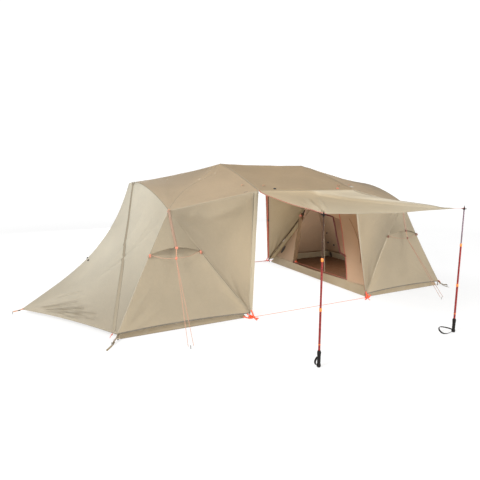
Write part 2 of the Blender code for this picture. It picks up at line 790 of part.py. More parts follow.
def main():
    clear_scene()
    root = bpy.data.objects.new("tent_frame", None)
    root.location = (0.0, SHIFT_Y, 0.0)
    bpy.context.collection.objects.link(root)
    fly = material("fly_cloth", FLY)
    fly_lit = material("tail_cloth", FLY_LIT)
    inner_mat = material("inner_cloth", INNER, 0.8)
    floor_mat = material("floor_cloth", FLOOR, 0.8)
    orange = material("orange_webbing", ORANGE, 0.6)
    dark = material("pole_tube", DARK, 0.35, 0.6)
    red = material("trekking_pole_red", RED, 0.3, 0.6)

    group = []
    pods = {}
    for pod, pod_name in ((-1.0, "left"), (1.0, "right")):
        pods[pod_name] = fly_pod(pod)
        group += list(pods[pod_name].values())
    porch = Cloth(np.array([0.0, 0.0, 0.8]))
    for side in (1.0, -1.0):
        porch.add(porch_roof(EAVE_POINTS, ARCH_POINTS, side))
    awning = Cloth(np.array([0.0, -1.8, 0.0]))
    awning.add(awning_sheet(EAVE_POINTS, EAVE_POINTS))
    group += [porch, awning]
    shared_normals(group)
    for pod_name, sheets in pods.items():
        for key, sheet in sheets.items():
            mat = fly_lit if key == "tail" else fly
            cloth_object("fly_%s_%s" % (key, pod_name), sheet, mat, root)
    cloth_object("porch_roof", porch, fly, root)
    cloth_object("awning", awning, fly, root)

    for pod, pod_name in ((-1.0, "left"), (1.0, "right")):
        frame_poles(pod, pod_name, group, dark, root)
        for side, side_name in ((1.0, "near"), (-1.0, "far")):
            vent_hood(pod, pod_name, side, side_name, fly, root)
            guy_line(pod, pod_name, side, side_name, orange, root)
            corner_strap(pod, pod_name, side, side_name, orange, root)
        tail_stake(pod, pod_name, orange, root)
        sheets = inner_tent(pod)
        shared_normals(list(sheets.values()))
        for key, sheet in sheets.items():
            mat = floor_mat if key == "floor" else inner_mat
            cloth_object("inner_%s_%s" % (key, pod_name), sheet, mat, root)
    for side, side_name in ((1.0, "near"), (-1.0, "far")):
        ground_cord(side, side_name, orange, root)
    trekking_pole("trekking_pole_left", AWNING_LEFT_X, red, root)
    trekking_pole("trekking_pole_right", AWNING_RIGHT_X, red, root)
    rolled_door(fly, root)


main()
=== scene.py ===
"""A two-room tunnel tent with its porch door raised as an awning, dressed around its solids.

Metres, +Z up, +X along the tent. Shapes are worked out for the right pod's near side and then
mirrored. In them y is counted from the middle of the tent, and MID moves them into the frame.
"""

import math
from dataclasses import dataclass
from functools import cache, partial

import bmesh
import bpy
import numpy as np
from bpy.props import FloatProperty, FloatVectorProperty, PointerProperty
from bpy.types import Operator, Panel, PropertyGroup
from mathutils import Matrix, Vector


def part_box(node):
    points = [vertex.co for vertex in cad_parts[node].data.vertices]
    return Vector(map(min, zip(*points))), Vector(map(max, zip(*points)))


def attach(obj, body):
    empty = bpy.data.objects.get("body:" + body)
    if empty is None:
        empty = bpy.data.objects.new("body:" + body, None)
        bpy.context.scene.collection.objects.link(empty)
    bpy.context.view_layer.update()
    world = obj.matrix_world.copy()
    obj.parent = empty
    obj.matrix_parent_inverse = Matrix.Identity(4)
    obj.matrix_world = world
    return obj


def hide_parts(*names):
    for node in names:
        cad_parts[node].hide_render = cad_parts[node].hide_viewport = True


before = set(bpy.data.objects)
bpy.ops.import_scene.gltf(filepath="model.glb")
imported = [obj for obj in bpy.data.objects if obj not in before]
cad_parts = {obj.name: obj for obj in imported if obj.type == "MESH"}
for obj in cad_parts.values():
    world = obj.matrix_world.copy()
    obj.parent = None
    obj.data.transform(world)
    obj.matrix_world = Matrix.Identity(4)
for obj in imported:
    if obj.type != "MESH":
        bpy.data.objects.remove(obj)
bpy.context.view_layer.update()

bl_info = {
    "name": "Two-room tunnel tent",
    "version": (1, 0, 0),
    "blender": (4, 5, 0),
    "location": "View3D > Sidebar > Tent",
    "description": "Cloth, poles, webbing and stage of a two-room tunnel tent",
    "category": "Add Mesh",
}

# The middle of the tent across, in the frame.
ROOF_LOW, ROOF_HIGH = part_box("porch_roof")
MID = np.array([0.0, (ROOF_LOW.y + ROOF_HIGH.y) / 2.0, 0.0])

# Driving points of one pod, as in the solids: right pod, near side (y < 0).
HALF_WIDTH = 1.20
CORNER_IN = np.array([0.80, -HALF_WIDTH, 0.045])
CORNER_OUT = np.array([2.14, -HALF_WIDTH, 0.055])
HUB = np.array([1.588, -1.0, 1.14])
END_PEAK = np.array([1.733, 0.0, 1.417])
RIDGE_PEAK = np.array([0.629, 0.0, 1.656])
SHOULDER = np.array([0.645, -1.075, 1.325])
TAIL_TIP = np.array([2.985, 0.0, 0.045])
END_ARCH_POWER = 1.75
OUTER_BEND = 1.4
INNER_BEND = 1.6
HOOP_BULGE = 0.02
ROOF_SAG = 0.02
PORCH_DIP = 0.010

# Side panels: the hem's arc, and how far the two halves are drawn in.
HEM_ARC = 0.018
GUSSET_HOLLOW = 0.03
FAN_HOLLOW = 0.018

# Tails, with the short level ledge past the peak.
TAIL_HOLLOW = 0.47
TAIL_POWER = 3.2
TAIL_END = 0.985
TAIL_HEM_ARC = 0.034
HUB_SHARE = 6.0 / 14.0
LEDGE_HEIGHT = 0.113
LEDGE_PLACE = 0.046
LEDGE_FALL = 0.66
LEDGE_SPREAD = 0.13

# Awning.
AWNING_EDGE_Y = -2.37
AWNING_CORNER_Z = 1.175
AWNING_LEFT_X = -0.811
AWNING_RIGHT_X = 0.767
AWNING_POWER = 0.6
AWNING_SHORT = 0.085
AWNING_SHORT_Y = 0.03
AWNING_FRONT_ARC = 0.03
AWNING_FRONT_SAG = 0.02
AWNING_EDGE_ARC = 0.012
GROMMET_IN = 0.0075

# Vent hoods and guy lines.
VENT_TOP = 0.06
VENT_BOTTOM = 0.378
VENT_RISE = 0.055
VENT_STAND = 0.055
VENT_GAP = 0.0049
GUY_CLIP = np.array([1.56, -1.125, 0.69])
GUY_STAKE = np.array([1.60, -1.645, 0.0])
STAKE_HEIGHT = 0.03

# Inner tents.
FLOOR_WALL = 0.115
INNER_HUB = np.array([1.60, -0.935, 1.075])
INNER_END_PEAK = np.array([1.70, 0.0, 1.36])
INNER_RIDGE_PEAK = np.array([0.70, 0.0, 1.575])
INNER_FOOT_OUT = np.array([CORNER_OUT[0] - 0.01, -HALF_WIDTH + 0.025, 0.0])
INNER_FOOT_IN = np.array([CORNER_IN[0] + 0.035, -HALF_WIDTH + 0.025, 0.0])
INNER_MIDDLE = (1.45, 0.0, 0.45)

# The inner door on the porch wall, in shares of the wall's half width (from near to far) and height.
DOOR_FAR = 0.44
DOOR_CORNER = 0.12
DOOR_TOP = 0.665
DOOR_NEAR_HEIGHTS = (0.09, 0.29, 0.323, 0.338, 0.49, 0.685, 0.80)
DOOR_NEAR_SHARES = (-0.68, -0.605, -0.575, -0.51, -0.43, -0.345, -0.25)
# The door's second zip, which runs beside the opening.
LAP_HEIGHTS = (0.103, 0.292, 0.370, 0.532, 0.703, 0.78)
LAP_SHARES = (-0.675, -0.605, -0.565, -0.50, -0.43, -0.40)

# The plane of the tail's zip: x is the sum of these shares of y and z and the last number.
FLAP_PLANE = np.array([0.0, -0.151, -0.187, 2.005])

# Thickness of the webbing's loops, and of the tape on a seam.
LOOP_THICKNESS = 0.0014
TAPE_THICKNESS = 0.0009
# How far tape lies above the cloth that it is sewn to.
TAPE_LIFT = 0.0003

# The photo's camera, and its focal length in pixels of its 480 pixel frame.
CAMERA_PLACE = np.array([-2.5026, -4.5074, 1.3855])
CAMERA_YAW = math.radians(25.545)
CAMERA_PITCH = math.radians(8.534)
FOCAL_PIXELS = 368.531
FRAME_PIXELS = 480.0

PODS = (("left", -1.0), ("right", 1.0))
SIDES = (("near", 1.0), ("far", -1.0))
UPRIGHT = np.array([[0.0, 0.0, 1.0], [1.0, 0.0, 0.0], [0.0, 1.0, 0.0]])


def length_prop(name, description, default):
    return FloatProperty(name=name, description=description, default=default, min=0.0, unit="LENGTH")


def power_prop(name, description, default):
    return FloatProperty(name=name, description=description, default=default, unit="POWER")


def colour_prop(name, description, default):
    return FloatVectorProperty(
        name=name, description=description, default=default, size=3, min=0.0, max=1.0, subtype="COLOR"
    )


class TentSizes(PropertyGroup):
    cloth: length_prop("Cloth", "Thickness of the cloth", 0.0008)
    seam: length_prop("Seam", "Width of a sewn seam", 0.006)
    hem: length_prop("Hem", "Width of a hem", 0.016)
    flap: length_prop("Zip flap", "Width of the flap over the tail's zip", 0.048)
    zip_tape: length_prop("Zip", "Width of a zip with its tape", 0.014)
    webbing: length_prop("Webbing", "Width of the webbing", 0.018)
    cord: length_prop("Cord", "Diameter of the guy lines and the ground cords", 0.0026)
    pole: length_prop("Pole", "Diameter of the tent poles", 0.009)
    ripple: length_prop("Ripple", "Height of the soft waves in the cloth", 0.0022)


class TentColours(PropertyGroup):
    fly: colour_prop("Fly", "Khaki of the outer tent", (0.414, 0.352, 0.252))
    # The tails are of the fly's cloth: their paler khaki is painted light, for light shining through them.
    tail: colour_prop("Tails", "Paler khaki of the tails", (0.53, 0.50, 0.42))
    inner: colour_prop("Inner", "Brown of the inner tents", (0.385, 0.272, 0.178))
    floor: colour_prop("Floor", "Dark brown of the floors", (0.085, 0.037, 0.016))
    webbing: colour_prop("Webbing", "Orange-red of the webbing and clips", (0.72, 0.062, 0.009))
    zip: colour_prop("Zip", "Red of the zips", (0.44, 0.055, 0.03))
    cord: colour_prop("Cord", "Faded red of the cords", (0.58, 0.29, 0.20))
    dark: colour_prop("Dark fittings", "Black of the clips, grips and poles", (0.02, 0.018, 0.017))
    trekking: colour_prop("Trekking pole", "Red of the lower shafts", (0.24, 0.018, 0.016))


class StageSettings(PropertyGroup):
    key: power_prop("Key light", "Power of the key light", 440.0)
    fill: power_prop("Fill light", "Power of the low front light", 680.0)
    back: power_prop("Back light", "Power of the back light", 600.0)
    inside: power_prop("Inside", "Power of each lamp under the cloth", 22.0)
    sky: FloatProperty(name="Sky", description="Strength of the white surroundings", default=0.75)


def measures():
    return bpy.context.scene.tent_sizes


# Arrays.


def unit(vectors):
    length = np.linalg.norm(vectors, axis=-1, keepdims=True)
    return vectors / np.maximum(length, 1e-12)


def triad(a, b):
    """Three ways square to each other: a, the one square to a and b, and the one square to both."""
    across = unit(np.cross(a, b))
    return np.array([a, across, np.cross(a, across)])


def mix(a, b, t):
    """Blend of a and b, with t as one more leading column of weights."""
    t = np.asarray(t, float)[..., None]
    return (1.0 - t) * a + t * b


def smooth(t):
    """Smooth step: 3 t squared minus 2 t cubed, for t held between 0 and 1."""
    t = np.clip(t, 0.0, 1.0)
    return t * t * (3.0 - 2.0 * t)


def bump(t):
    """A round hump: 0 at 0 and 1, and 1 in the middle."""
    t = np.clip(t, 0.0, 1.0)
    return 4.0 * t * (1.0 - t)


def steps(*marks, count):
    """Even steps between marks, each stretch with the same number of steps."""
    parts = [np.linspace(a, b, count + 1)[:-1] for a, b in zip(marks, marks[1:])]
    return np.concatenate(parts + [np.array(marks[-1:])])


def way_along(points):
    """Length of a polyline from its start to each of its points."""
    return np.concatenate([[0.0], np.cumsum(np.linalg.norm(np.diff(points, axis=0), axis=1))])


def line_points(points, count):
    """A polyline's points made even: count points at equal steps along a smooth curve through them.

    The curve is a Catmull-Rom spline: each piece blends cubically between two points, with slopes
    from their neighbours."""
    points = np.asarray(points, float)
    ends = np.concatenate([2.0 * points[:1] - points[1:2], points, 2.0 * points[-1:] - points[-2:-1]])
    span = len(points) - 1
    s = np.linspace(0.0, span, span * 16 + 1)
    k = np.minimum(s.astype(int), span - 1)
    t = (s - k)[:, None]
    p0, p1, p2, p3 = ends[k], ends[k + 1], ends[k + 2], ends[k + 3]
    curve = 0.5 * (
        2.0 * p1 + (p2 - p0) * t + (2.0 * p0 - 5.0 * p1 + 4.0 * p2 - p3) * t ** 2
        + (3.0 * p1 - p0 - 3.0 * p2 + p3) * t ** 3
    )
    way = way_along(curve)
    even = np.linspace(0.0, way[-1], count)
    return np.stack([np.interp(even, way, curve[:, axis]) for axis in range(curve.shape[1])], axis=1)


def waves(points, height, length, seed):
    """Soft unevenness: a sum of sine waves in seeded directions, with lengths round the given one."""
    random = np.random.default_rng(seed)
    total = np.zeros(points.shape[:-1])
    for _ in range(7):
        direction = unit(random.normal(size=3))
        pitch = length * random.uniform(0.5, 1.6)
        total += np.sin(points @ direction * (2.0 * math.pi / pitch) + random.uniform(0.0, 6.28))
    return height * total / 3.0


# Curves of the tent, from 0 to 1.


def arch(peak, hub, t):
    """From a peak to a hub: the height falls with a power of the distance from the middle."""
    points = mix(peak, hub, t)
    points[..., 2] = peak[2] + (hub[2] - peak[2]) * np.asarray(t) ** END_ARCH_POWER
    return points


def leg(top, foot, bend, t):
    """From a hub to a foot: y grows with a power of the way down, so the leg bows."""
    points = mix(top, foot, t)
    points[..., 1] = top[1] + (foot[1] - top[1]) * np.asarray(t) ** bend
    return points


end_arch = partial(arch, END_PEAK, HUB)
outer_leg = partial(leg, HUB, CORNER_OUT, OUTER_BEND)
inner_leg = partial(leg, HUB, CORNER_IN, INNER_BEND)
inner_end_arch = partial(arch, INNER_END_PEAK, INNER_HUB)
inner_leg_out = partial(leg, INNER_HUB, INNER_FOOT_OUT, OUTER_BEND)
inner_leg_in = partial(leg, INNER_HUB, INNER_FOOT_IN, INNER_BEND)


def hoop(t):
    """From the ridge peak to the shoulder: a straight fall with a slight bulge."""
    points = mix(RIDGE_PEAK, SHOULDER, t)
    points[..., 2] += HOOP_BULGE * bump(t)
    return points


def roof_sag(u, t):
    return ROOF_SAG * bump(u) * (1.0 - t ** 2)


def crossing(t):
    """The diagonal of the pod's roof, from the ridge peak (0) to the hub (1)."""
    t = np.asarray(t, float)
    points = mix(hoop(t), end_arch(t), t)
    points[..., 2] -= roof_sag(t, t)
    return points


def inner_porch_arch(t):
    """The inner tent's edge below the porch pole: the roof's diagonal, let down."""
    points = mix(INNER_RIDGE_PEAK, INNER_HUB, t)
    drop = mix(RIDGE_PEAK - INNER_RIDGE_PEAK, HUB - INNER_HUB, t)[..., 2]
    points[..., 2] = crossing(t)[..., 2] - drop
    return points


def tail_seam(share):
    """The seam that carries the tail, from the peak (0) over the hub to the foot (1)."""
    on_arch = end_arch(np.minimum(share / HUB_SHARE, 1.0))
    on_leg = outer_leg(np.clip((share - HUB_SHARE) / (1.0 - HUB_SHARE), 0.0, 1.0))
    return np.where((share <= HUB_SHARE)[..., None], on_arch, on_leg)


# Base surfaces of the fly, before folds.


def side_base(u, v):
    """Side panel. u runs from the outer leg (0) over the inner leg (1) to the jamb (2), v from the hub down.

    The hem is cut in a low arc, so the middle of the panel ends a little higher."""
    fold = inner_leg(v)
    jamb = mix(SHOULDER, CORNER_IN, v)
    fan = mix(outer_leg(v), fold, np.minimum(u, 1.0))
    gusset = mix(fold, jamb, np.maximum(u - 1.0, 0.0))
    points = np.where((u <= 1.0)[..., None], fan, gusset)
    points[..., 2] += HEM_ARC * bump(u) * smooth((v - 0.6) / 0.4)
    inwards = GUSSET_HOLLOW * bump(u - 1.0) * bump(v) ** 0.7 * (u > 1.0)
    points[..., 1] += inwards + FAN_HOLLOW * bump(u) * (u < 1.0) * v * (1.0 - 0.6 * v)
    return points


def roof_base(u, t):
    """Pod roof. u runs from the end arch (0) to the hoop (1), t from the near eave (-1) to the far (1)."""
    share = np.abs(t)
    points = mix(end_arch(share), hoop(share), u)
    points[..., 2] -= roof_sag(u, share)
    points[..., 1] *= -np.sign(t)
    return points


def porch_base(u, t):
    """Porch roof between the two hoops, from left (u = -1) to right (1). It dips a little between them."""
    share = np.abs(t)
    points = hoop(share)
    points[..., 0] *= u
    points[..., 1] *= -np.sign(t)
    points[..., 2] -= PORCH_DIP * (1.0 - u ** 2) * (1.0 - share)
    return points


def tail_base(t, q):
    """Tail: lines from the seam (q = 1) to the tip. Height falls as a mix of q and a power of q.

    Past the peak the cloth runs level over a short ledge: its lift grows evenly up to the ledge's
    lip and dies away exponentially past it. The hem is cut in an inward arc."""
    share = np.abs(t)
    seam = tail_seam(share)
    points = mix(TAIL_TIP, seam, q)
    hollow = TAIL_HOLLOW * np.cos(0.5 * math.pi * share) ** 0.8
    fall = hollow * q ** TAIL_POWER + (1.0 - hollow) * q
    points[..., 2] = TAIL_TIP[2] + (seam[..., 2] - TAIL_TIP[2]) * fall
    way = (1.0 - q) / LEDGE_PLACE
    ledge = LEDGE_HEIGHT * np.minimum(way, 1.0) * np.exp(-LEDGE_FALL * np.maximum(way - 1.0, 0.0))
    points[..., 2] += ledge * np.exp(-(share / LEDGE_SPREAD) ** 2)
    arc = TAIL_HEM_ARC * bump(q) * smooth((share - 0.55) / 0.45)
    points += arc[..., None] * unit(np.array([-1.2, 0.845, 0.0]))
    points[..., 1] *= -np.sign(t)
    return points


def awning_base(u, v):
    """Awning, from its left edge (u = 0) to its right one, and from the eave (v = 0) out to the poles."""
    eave_x = -SHOULDER[0] + 2.0 * SHOULDER[0] * u
    left = AWNING_LEFT_X + GROMMET_IN
    right = AWNING_RIGHT_X - AWNING_SHORT
    x = eave_x + (left + (right - left) * u - eave_x) * v + AWNING_EDGE_ARC * bump(v) * (1.0 - 2.0 * u)
    short = AWNING_SHORT_Y * u ** 2 + AWNING_FRONT_ARC * bump(u)
    y = SHOULDER[1] + (AWNING_EDGE_Y + short - SHOULDER[1]) * v
    z = SHOULDER[2] + (AWNING_CORNER_Z - SHOULDER[2]) * v ** AWNING_POWER
    return np.stack([x, y, z - AWNING_FRONT_SAG * bump(u) ** 2 * v], axis=-1)


def hood_base(u, v):
    """Vent hood, over the side panel: its lower lip stands off, most at the middle."""
    down = VENT_TOP + (VENT_BOTTOM - VENT_TOP) * v
    hump = bump(u)
    depth = down - VENT_RISE * hump * (down / VENT_BOTTOM) ** 2
    points = mix(outer_leg(depth), inner_leg(depth), u)
    points[..., 1] -= VENT_GAP + VENT_STAND * hump * v ** 1.5
    return points


# Base surfaces of an inner tent.


def inner_side_base(u, h):
    """Inner side wall, from the outer (u = 0) to the inner corner, h from the ground (0) to the hub (1)."""
    return mix(inner_leg_out(1.0 - h), inner_leg_in(1.0 - h), u)


def inner_roof_base(u, a):
    """Inner roof: straight lines from the end arch (u = 0) to the porch arch (1)."""
    share = np.abs(a)
    points = mix(inner_end_arch(share), inner_porch_arch(share), u)
    points[..., 1] *= -np.sign(a)
    return points


def wall_base(top_line, corner_line, a, h):
    """End wall. Lines of equal share a of the half width run from the ground (h = 0) to the arch (1)."""
    a, h = np.broadcast_arrays(a, h)
    share = np.abs(a)
    foot = corner_line(1.0)
    bottom = np.stack([foot[0] + 0.0 * a, -foot[1] * a, 0.0 * a], axis=-1)
    top = top_line(share)
    top[..., 1] *= -np.sign(a)
    bow = corner_line(1.0 - h) - mix(foot, INNER_HUB, h)
    bow[..., 1] *= -np.sign(a)
    return mix(bottom, top, h) + bow * share[..., None]


porch_wall_base = partial(wall_base, inner_porch_arch, inner_leg_in)
back_wall_base = partial(wall_base, inner_end_arch, inner_leg_out)


@dataclass
class Cloth:
    """A surface of two parameters with folds. A fold is a soft ridge, or a groove, along a line.

    A fold's line is straight in the two parameters: its eight numbers are where it starts, where it
    ends, its rise and width, and the shares over which its two ends fade. Its height falls off to
    both sides as a bell curve does. All heights go along the normal, away from inside."""

    base: object
    inside: tuple
    low: tuple
    high: tuple
    seed: int = 0
    pitch: float = 0.3
    hold: object = None
    folds: tuple = ()

    def normal(self, u, v):
        """Normals from central differences, taken a little inside the rim, where no line has run together."""
        u, v = np.broadcast_arrays(np.asarray(u, float), np.asarray(v, float))
        du, dv = 0.004 * np.subtract(self.high, self.low)
        u = np.clip(u, self.low[0] + du, self.high[0] - du)
        v = np.clip(v, self.low[1] + dv, self.high[1] - dv)
        along_u = self.base(u + du * 0.9, v) - self.base(u - du * 0.9, v)
        along_v = self.base(u, v + dv * 0.9) - self.base(u, v - dv * 0.9)
        normal = unit(np.cross(along_u, along_v))
        side = np.sign(np.sum(normal * (self.base(u, v) - self.inside), axis=-1, keepdims=True))
        return normal * np.where(side == 0.0, 1.0, side)

    def height(self, u, v, points):
        total = np.zeros(points.shape[:-1])
        for u0, v0, u1, v1, rise, width, fade_in, fade_out in self.folds:
            line = self.base(np.linspace(u0, u1, 11), np.linspace(v0, v1, 11))
            along = np.diff(line, axis=0)
            gap = points[..., None, :] - line[:-1]
            s = np.clip(np.sum(gap * along, axis=-1) / np.sum(along ** 2, axis=-1), 0.0, 1.0)
            gaps = np.linalg.norm(gap - s[..., None] * along, axis=-1)
            nearest = np.argmin(gaps, axis=-1)[..., None]
            away = np.take_along_axis(gaps, nearest, axis=-1)[..., 0]
            share = (nearest + np.take_along_axis(s, nearest, axis=-1))[..., 0] / 10.0
            ends = smooth(share / fade_in) * smooth((1.0 - share) / fade_out)
            total += rise * np.exp(-((away / width) ** 2)) * ends
        if self.seed:
            total += waves(points, measures().ripple, self.pitch, self.seed)
        if self.hold is not None:
            total *= self.hold(u, v)
        return total

    def at(self, u, v, lift=0.0):
        """Points of the folded surface, raised by lift."""
        u, v = np.broadcast_arrays(np.asarray(u, float), np.asarray(v, float))
        points = self.base(u, v)
        return points + self.normal(u, v) * (self.height(u, v, points) + lift)[..., None]


def on_both_sides(rows, axis):
    """Folds for both halves of a cloth, mirrored about zero along one of its parameters."""
    turn = np.ones(8)
    turn[[axis, axis + 2]] = -1.0
    return np.concatenate([rows * turn, rows])


# The fly's cloths, in the frame of the right pod's near side. Each is held flat near its seams.

SIDE = Cloth(
    side_base, (1.3, 0.0, 0.5), (0.0, 0.0), (2.0, 1.0), 11, 0.34,
    lambda u, v: smooth(u / 0.12) * smooth((2.0 - u) / 0.10) * smooth(v / 0.10)
    * (1.0 - 0.5 * smooth((v - 0.9) / 0.1)),
    (
        (1.0, 0.02, 1.0, 0.98, 0.007, 0.016, 0.1, 0.1),
        (1.0, 0.97, 1.03, 0.40, 0.010, 0.022, 0.05, 0.9),
        (1.06, 0.98, 1.42, 0.42, 0.012, 0.026, 0.05, 0.9),
        (1.20, 0.98, 1.60, 0.50, -0.008, 0.024, 0.05, 0.9),
        (1.35, 0.99, 1.80, 0.55, 0.007, 0.024, 0.05, 0.9),
        (0.96, 0.96, 0.70, 0.60, 0.008, 0.024, 0.05, 0.9),
        (0.88, 0.98, 0.60, 0.74, -0.006, 0.020, 0.05, 0.9),
        (0.02, 0.95, 0.20, 0.55, 0.010, 0.018, 0.05, 0.9),
        (0.06, 0.97, 0.30, 0.66, -0.008, 0.016, 0.05, 0.9),
        (0.12, 0.98, 0.40, 0.76, 0.008, 0.018, 0.05, 0.9),
        (0.10, 0.06, 0.30, 0.34, 0.006, 0.014, 0.05, 0.6),
        (1.28, 0.13, 1.85, 0.10, 0.014, 0.050, 0.3, 0.3),
        (1.0, 0.0, 1.34, 0.55, -0.022, 0.050, 0.3, 0.9),
        (1.20, 0.05, 1.75, 0.45, 0.012, 0.050, 0.05, 0.9),
    ),
)
ROOF = Cloth(
    roof_base, (1.2, 0.0, 0.6), (0.0, -1.0), (1.0, 1.0), 23, 0.40,
    lambda u, t: smooth(u / 0.10) * smooth((1.0 - u) / 0.10) * smooth((1.0 - np.abs(t)) / 0.10),
    on_both_sides((
        (0.98, 0.02, 0.02, 0.98, 0.012, 0.020, 0.05, 0.05),
        (0.05, 0.97, 0.55, 0.78, 0.007, 0.022, 0.05, 0.9),
        (0.04, 0.93, 0.40, 0.42, -0.008, 0.026, 0.05, 0.9),
        (0.03, 0.86, 0.28, 0.20, 0.007, 0.026, 0.05, 0.9),
        (0.10, 0.99, 0.95, 0.88, -0.005, 0.024, 0.1, 0.5),
    ), 1),
)
PORCH = Cloth(
    porch_base, (0.0, 0.0, 0.6), (-1.0, -1.0), (1.0, 1.0), 31, 0.45,
    lambda u, t: smooth((1.0 - np.abs(u)) / 0.10) * smooth((1.0 - np.abs(t)) / 0.10),
    on_both_sides((
        (-0.95, 0.9, -0.35, 0.35, 0.004, 0.04, 0.1, 0.9),
        (0.95, 0.9, 0.35, 0.35, 0.004, 0.04, 0.1, 0.9),
    ), 1),
)
TAIL = Cloth(
    tail_base, (1.9, 0.0, 0.05), (-1.0, 1.0 - TAIL_END), (1.0, 1.0), 47, 0.5,
    lambda t, q: smooth((1.0 - q) / 0.05) * smooth((1.0 - np.abs(t)) / 0.02),
    on_both_sides((
        (0.985, 0.42, 0.948, 0.88, -0.010, 0.010, 0.2, 0.3),
        (0.972, 0.25, 0.930, 0.86, 0.012, 0.011, 0.2, 0.3),
        (0.965, 0.18, 0.912, 0.84, -0.014, 0.011, 0.2, 0.3),
        (0.945, 0.14, 0.890, 0.80, 0.014, 0.011, 0.2, 0.3),
        (0.930, 0.12, 0.862, 0.76, -0.015, 0.011, 0.2, 0.3),
        (0.900, 0.12, 0.828, 0.70, 0.013, 0.012, 0.2, 0.3),
        (0.870, 0.12, 0.785, 0.62, -0.014, 0.012, 0.2, 0.3),
        (0.800, 0.14, 0.735, 0.60, 0.009, 0.013, 0.2, 0.3),
        (0.550, 0.24, 0.655, 0.54, -0.011, 0.012, 0.2, 0.3),
        (0.52, 0.55, 0.42, 0.98, 0.009, 0.018, 0.2, 0.3),
        (0.46, 0.62, 0.34, 0.99, -0.009, 0.016, 0.2, 0.3),
        (0.40, 0.60, 0.24, 0.99, 0.007, 0.018, 0.2, 0.3),
    ), 0),
)
AWNING = Cloth(
    awning_base, (0.0, -1.7, -1.0), (0.0, 0.0), (1.0, 1.0), 53, 0.36, lambda u, v: smooth(v / 0.08),
    (
        (0.49, 0.0, 0.99, 0.98, -0.026, 0.060, 0.1, 0.10),
        (0.56, 0.02, 0.97, 0.90, 0.014, 0.020, 0.15, 0.30),
        (0.66, 0.02, 0.985, 0.86, -0.010, 0.018, 0.15, 0.30),
        (0.36, 0.24, 0.03, 0.95, -0.024, 0.020, 0.25, 0.08),
        (0.46, 0.18, 0.06, 0.90, 0.022, 0.022, 0.35, 0.08),
        (0.29, 0.25, 0.02, 0.92, 0.020, 0.017, 0.25, 0.08),
        (0.14, 0.45, 0.01, 0.93, -0.012, 0.016, 0.25, 0.08),
        (0.76, 0.10, 0.97, 0.93, 0.014, 0.040, 0.35, 0.10),
        (0.10, 0.97, 0.90, 0.97, 0.004, 0.030, 0.3, 0.3),
    ),
)
HOOD = Cloth(
    hood_base, (1.5, 0.0, 0.6), (0.0, 0.0), (1.0, 1.0),
    hold=lambda u, v: smooth(u / 0.1) * smooth((1.0 - u) / 0.1) * smooth(v / 0.1),
    folds=((0.5, 0.05, 0.5, 0.97, 0.006, 0.05, 0.2, 0.2),),
)
PORCH_WALL = Cloth(porch_wall_base, INNER_MIDDLE, (-1.0, 0.0), (1.0, 1.0))
BACK_WALL = Cloth(back_wall_base, INNER_MIDDLE, (-1.0, 0.0), (1.0, 1.0))

SIDE_U = steps(0.0, 1.0, 2.0, count=44)
SIDE_V = np.linspace(0.0, 1.0, 73)
ROOF_U = np.linspace(0.0, 1.0, 49)
ROOF_T = np.linspace(-1.0, 1.0, 97)
TAIL_T = steps(-1.0, -HUB_SHARE, 0.0, HUB_SHARE, 1.0, count=44)
TAIL_Q = 1.0 - TAIL_END * np.linspace(0.0, 1.0, 89) ** 1.25


# Turning arrays into meshes.


def grid_faces(grid):
    """Quads of a grid, its points numbered row by row."""
    index = np.arange(grid.shape[0] * grid.shape[1]).reshape(grid.shape[:2])
    quads = np.stack([index[:-1, :-1], index[1:, :-1], index[1:, 1:], index[:-1, 1:]], axis=-1)
    return quads.reshape(-1, 4)


def grid_lengths(grid):
    """UV of a grid in metres: the way along its rows and along its columns."""
    down = np.linalg.norm(np.diff(grid, axis=0), axis=-1)
    along = np.linalg.norm(np.diff(grid, axis=1), axis=-1)
    u = np.concatenate([np.zeros((1, grid.shape[1])), np.cumsum(down, axis=0)])
    v = np.concatenate([np.zeros((grid.shape[0], 1)), np.cumsum(along, axis=1)], axis=1)
    return np.stack([u, v], axis=-1)


def capped(rings):
    """A grid of rings, closed at both ends by their middles. The last point of a ring repeats its first."""
    middles = np.repeat(rings[[0, -1], :-1].mean(axis=1, keepdims=True), rings.shape[1], axis=1)
    return np.concatenate([middles[:1], rings, middles[1:]])


def circle(radius, sides):
    """A round profile. The radius is one number, or one for each side."""
    angle = np.arange(sides) * 2.0 * math.pi / sides
    return np.reshape(radius, (-1, 1)) * np.stack([np.cos(angle), np.sin(angle)], axis=1)


def band(width, thickness):
    """Profile of webbing: a flat bar with rounded edges, standing on its lower face."""
    w = width / 2.0
    t = thickness
    return np.array([
        (-w, 0.25 * t), (-w + 0.4 * t, 0.0), (0.0, 0.0), (w - 0.4 * t, 0.0), (w, 0.25 * t),
        (w, 0.75 * t), (w - 0.4 * t, t), (0.0, t), (-w + 0.4 * t, t), (-w, 0.75 * t),
    ])


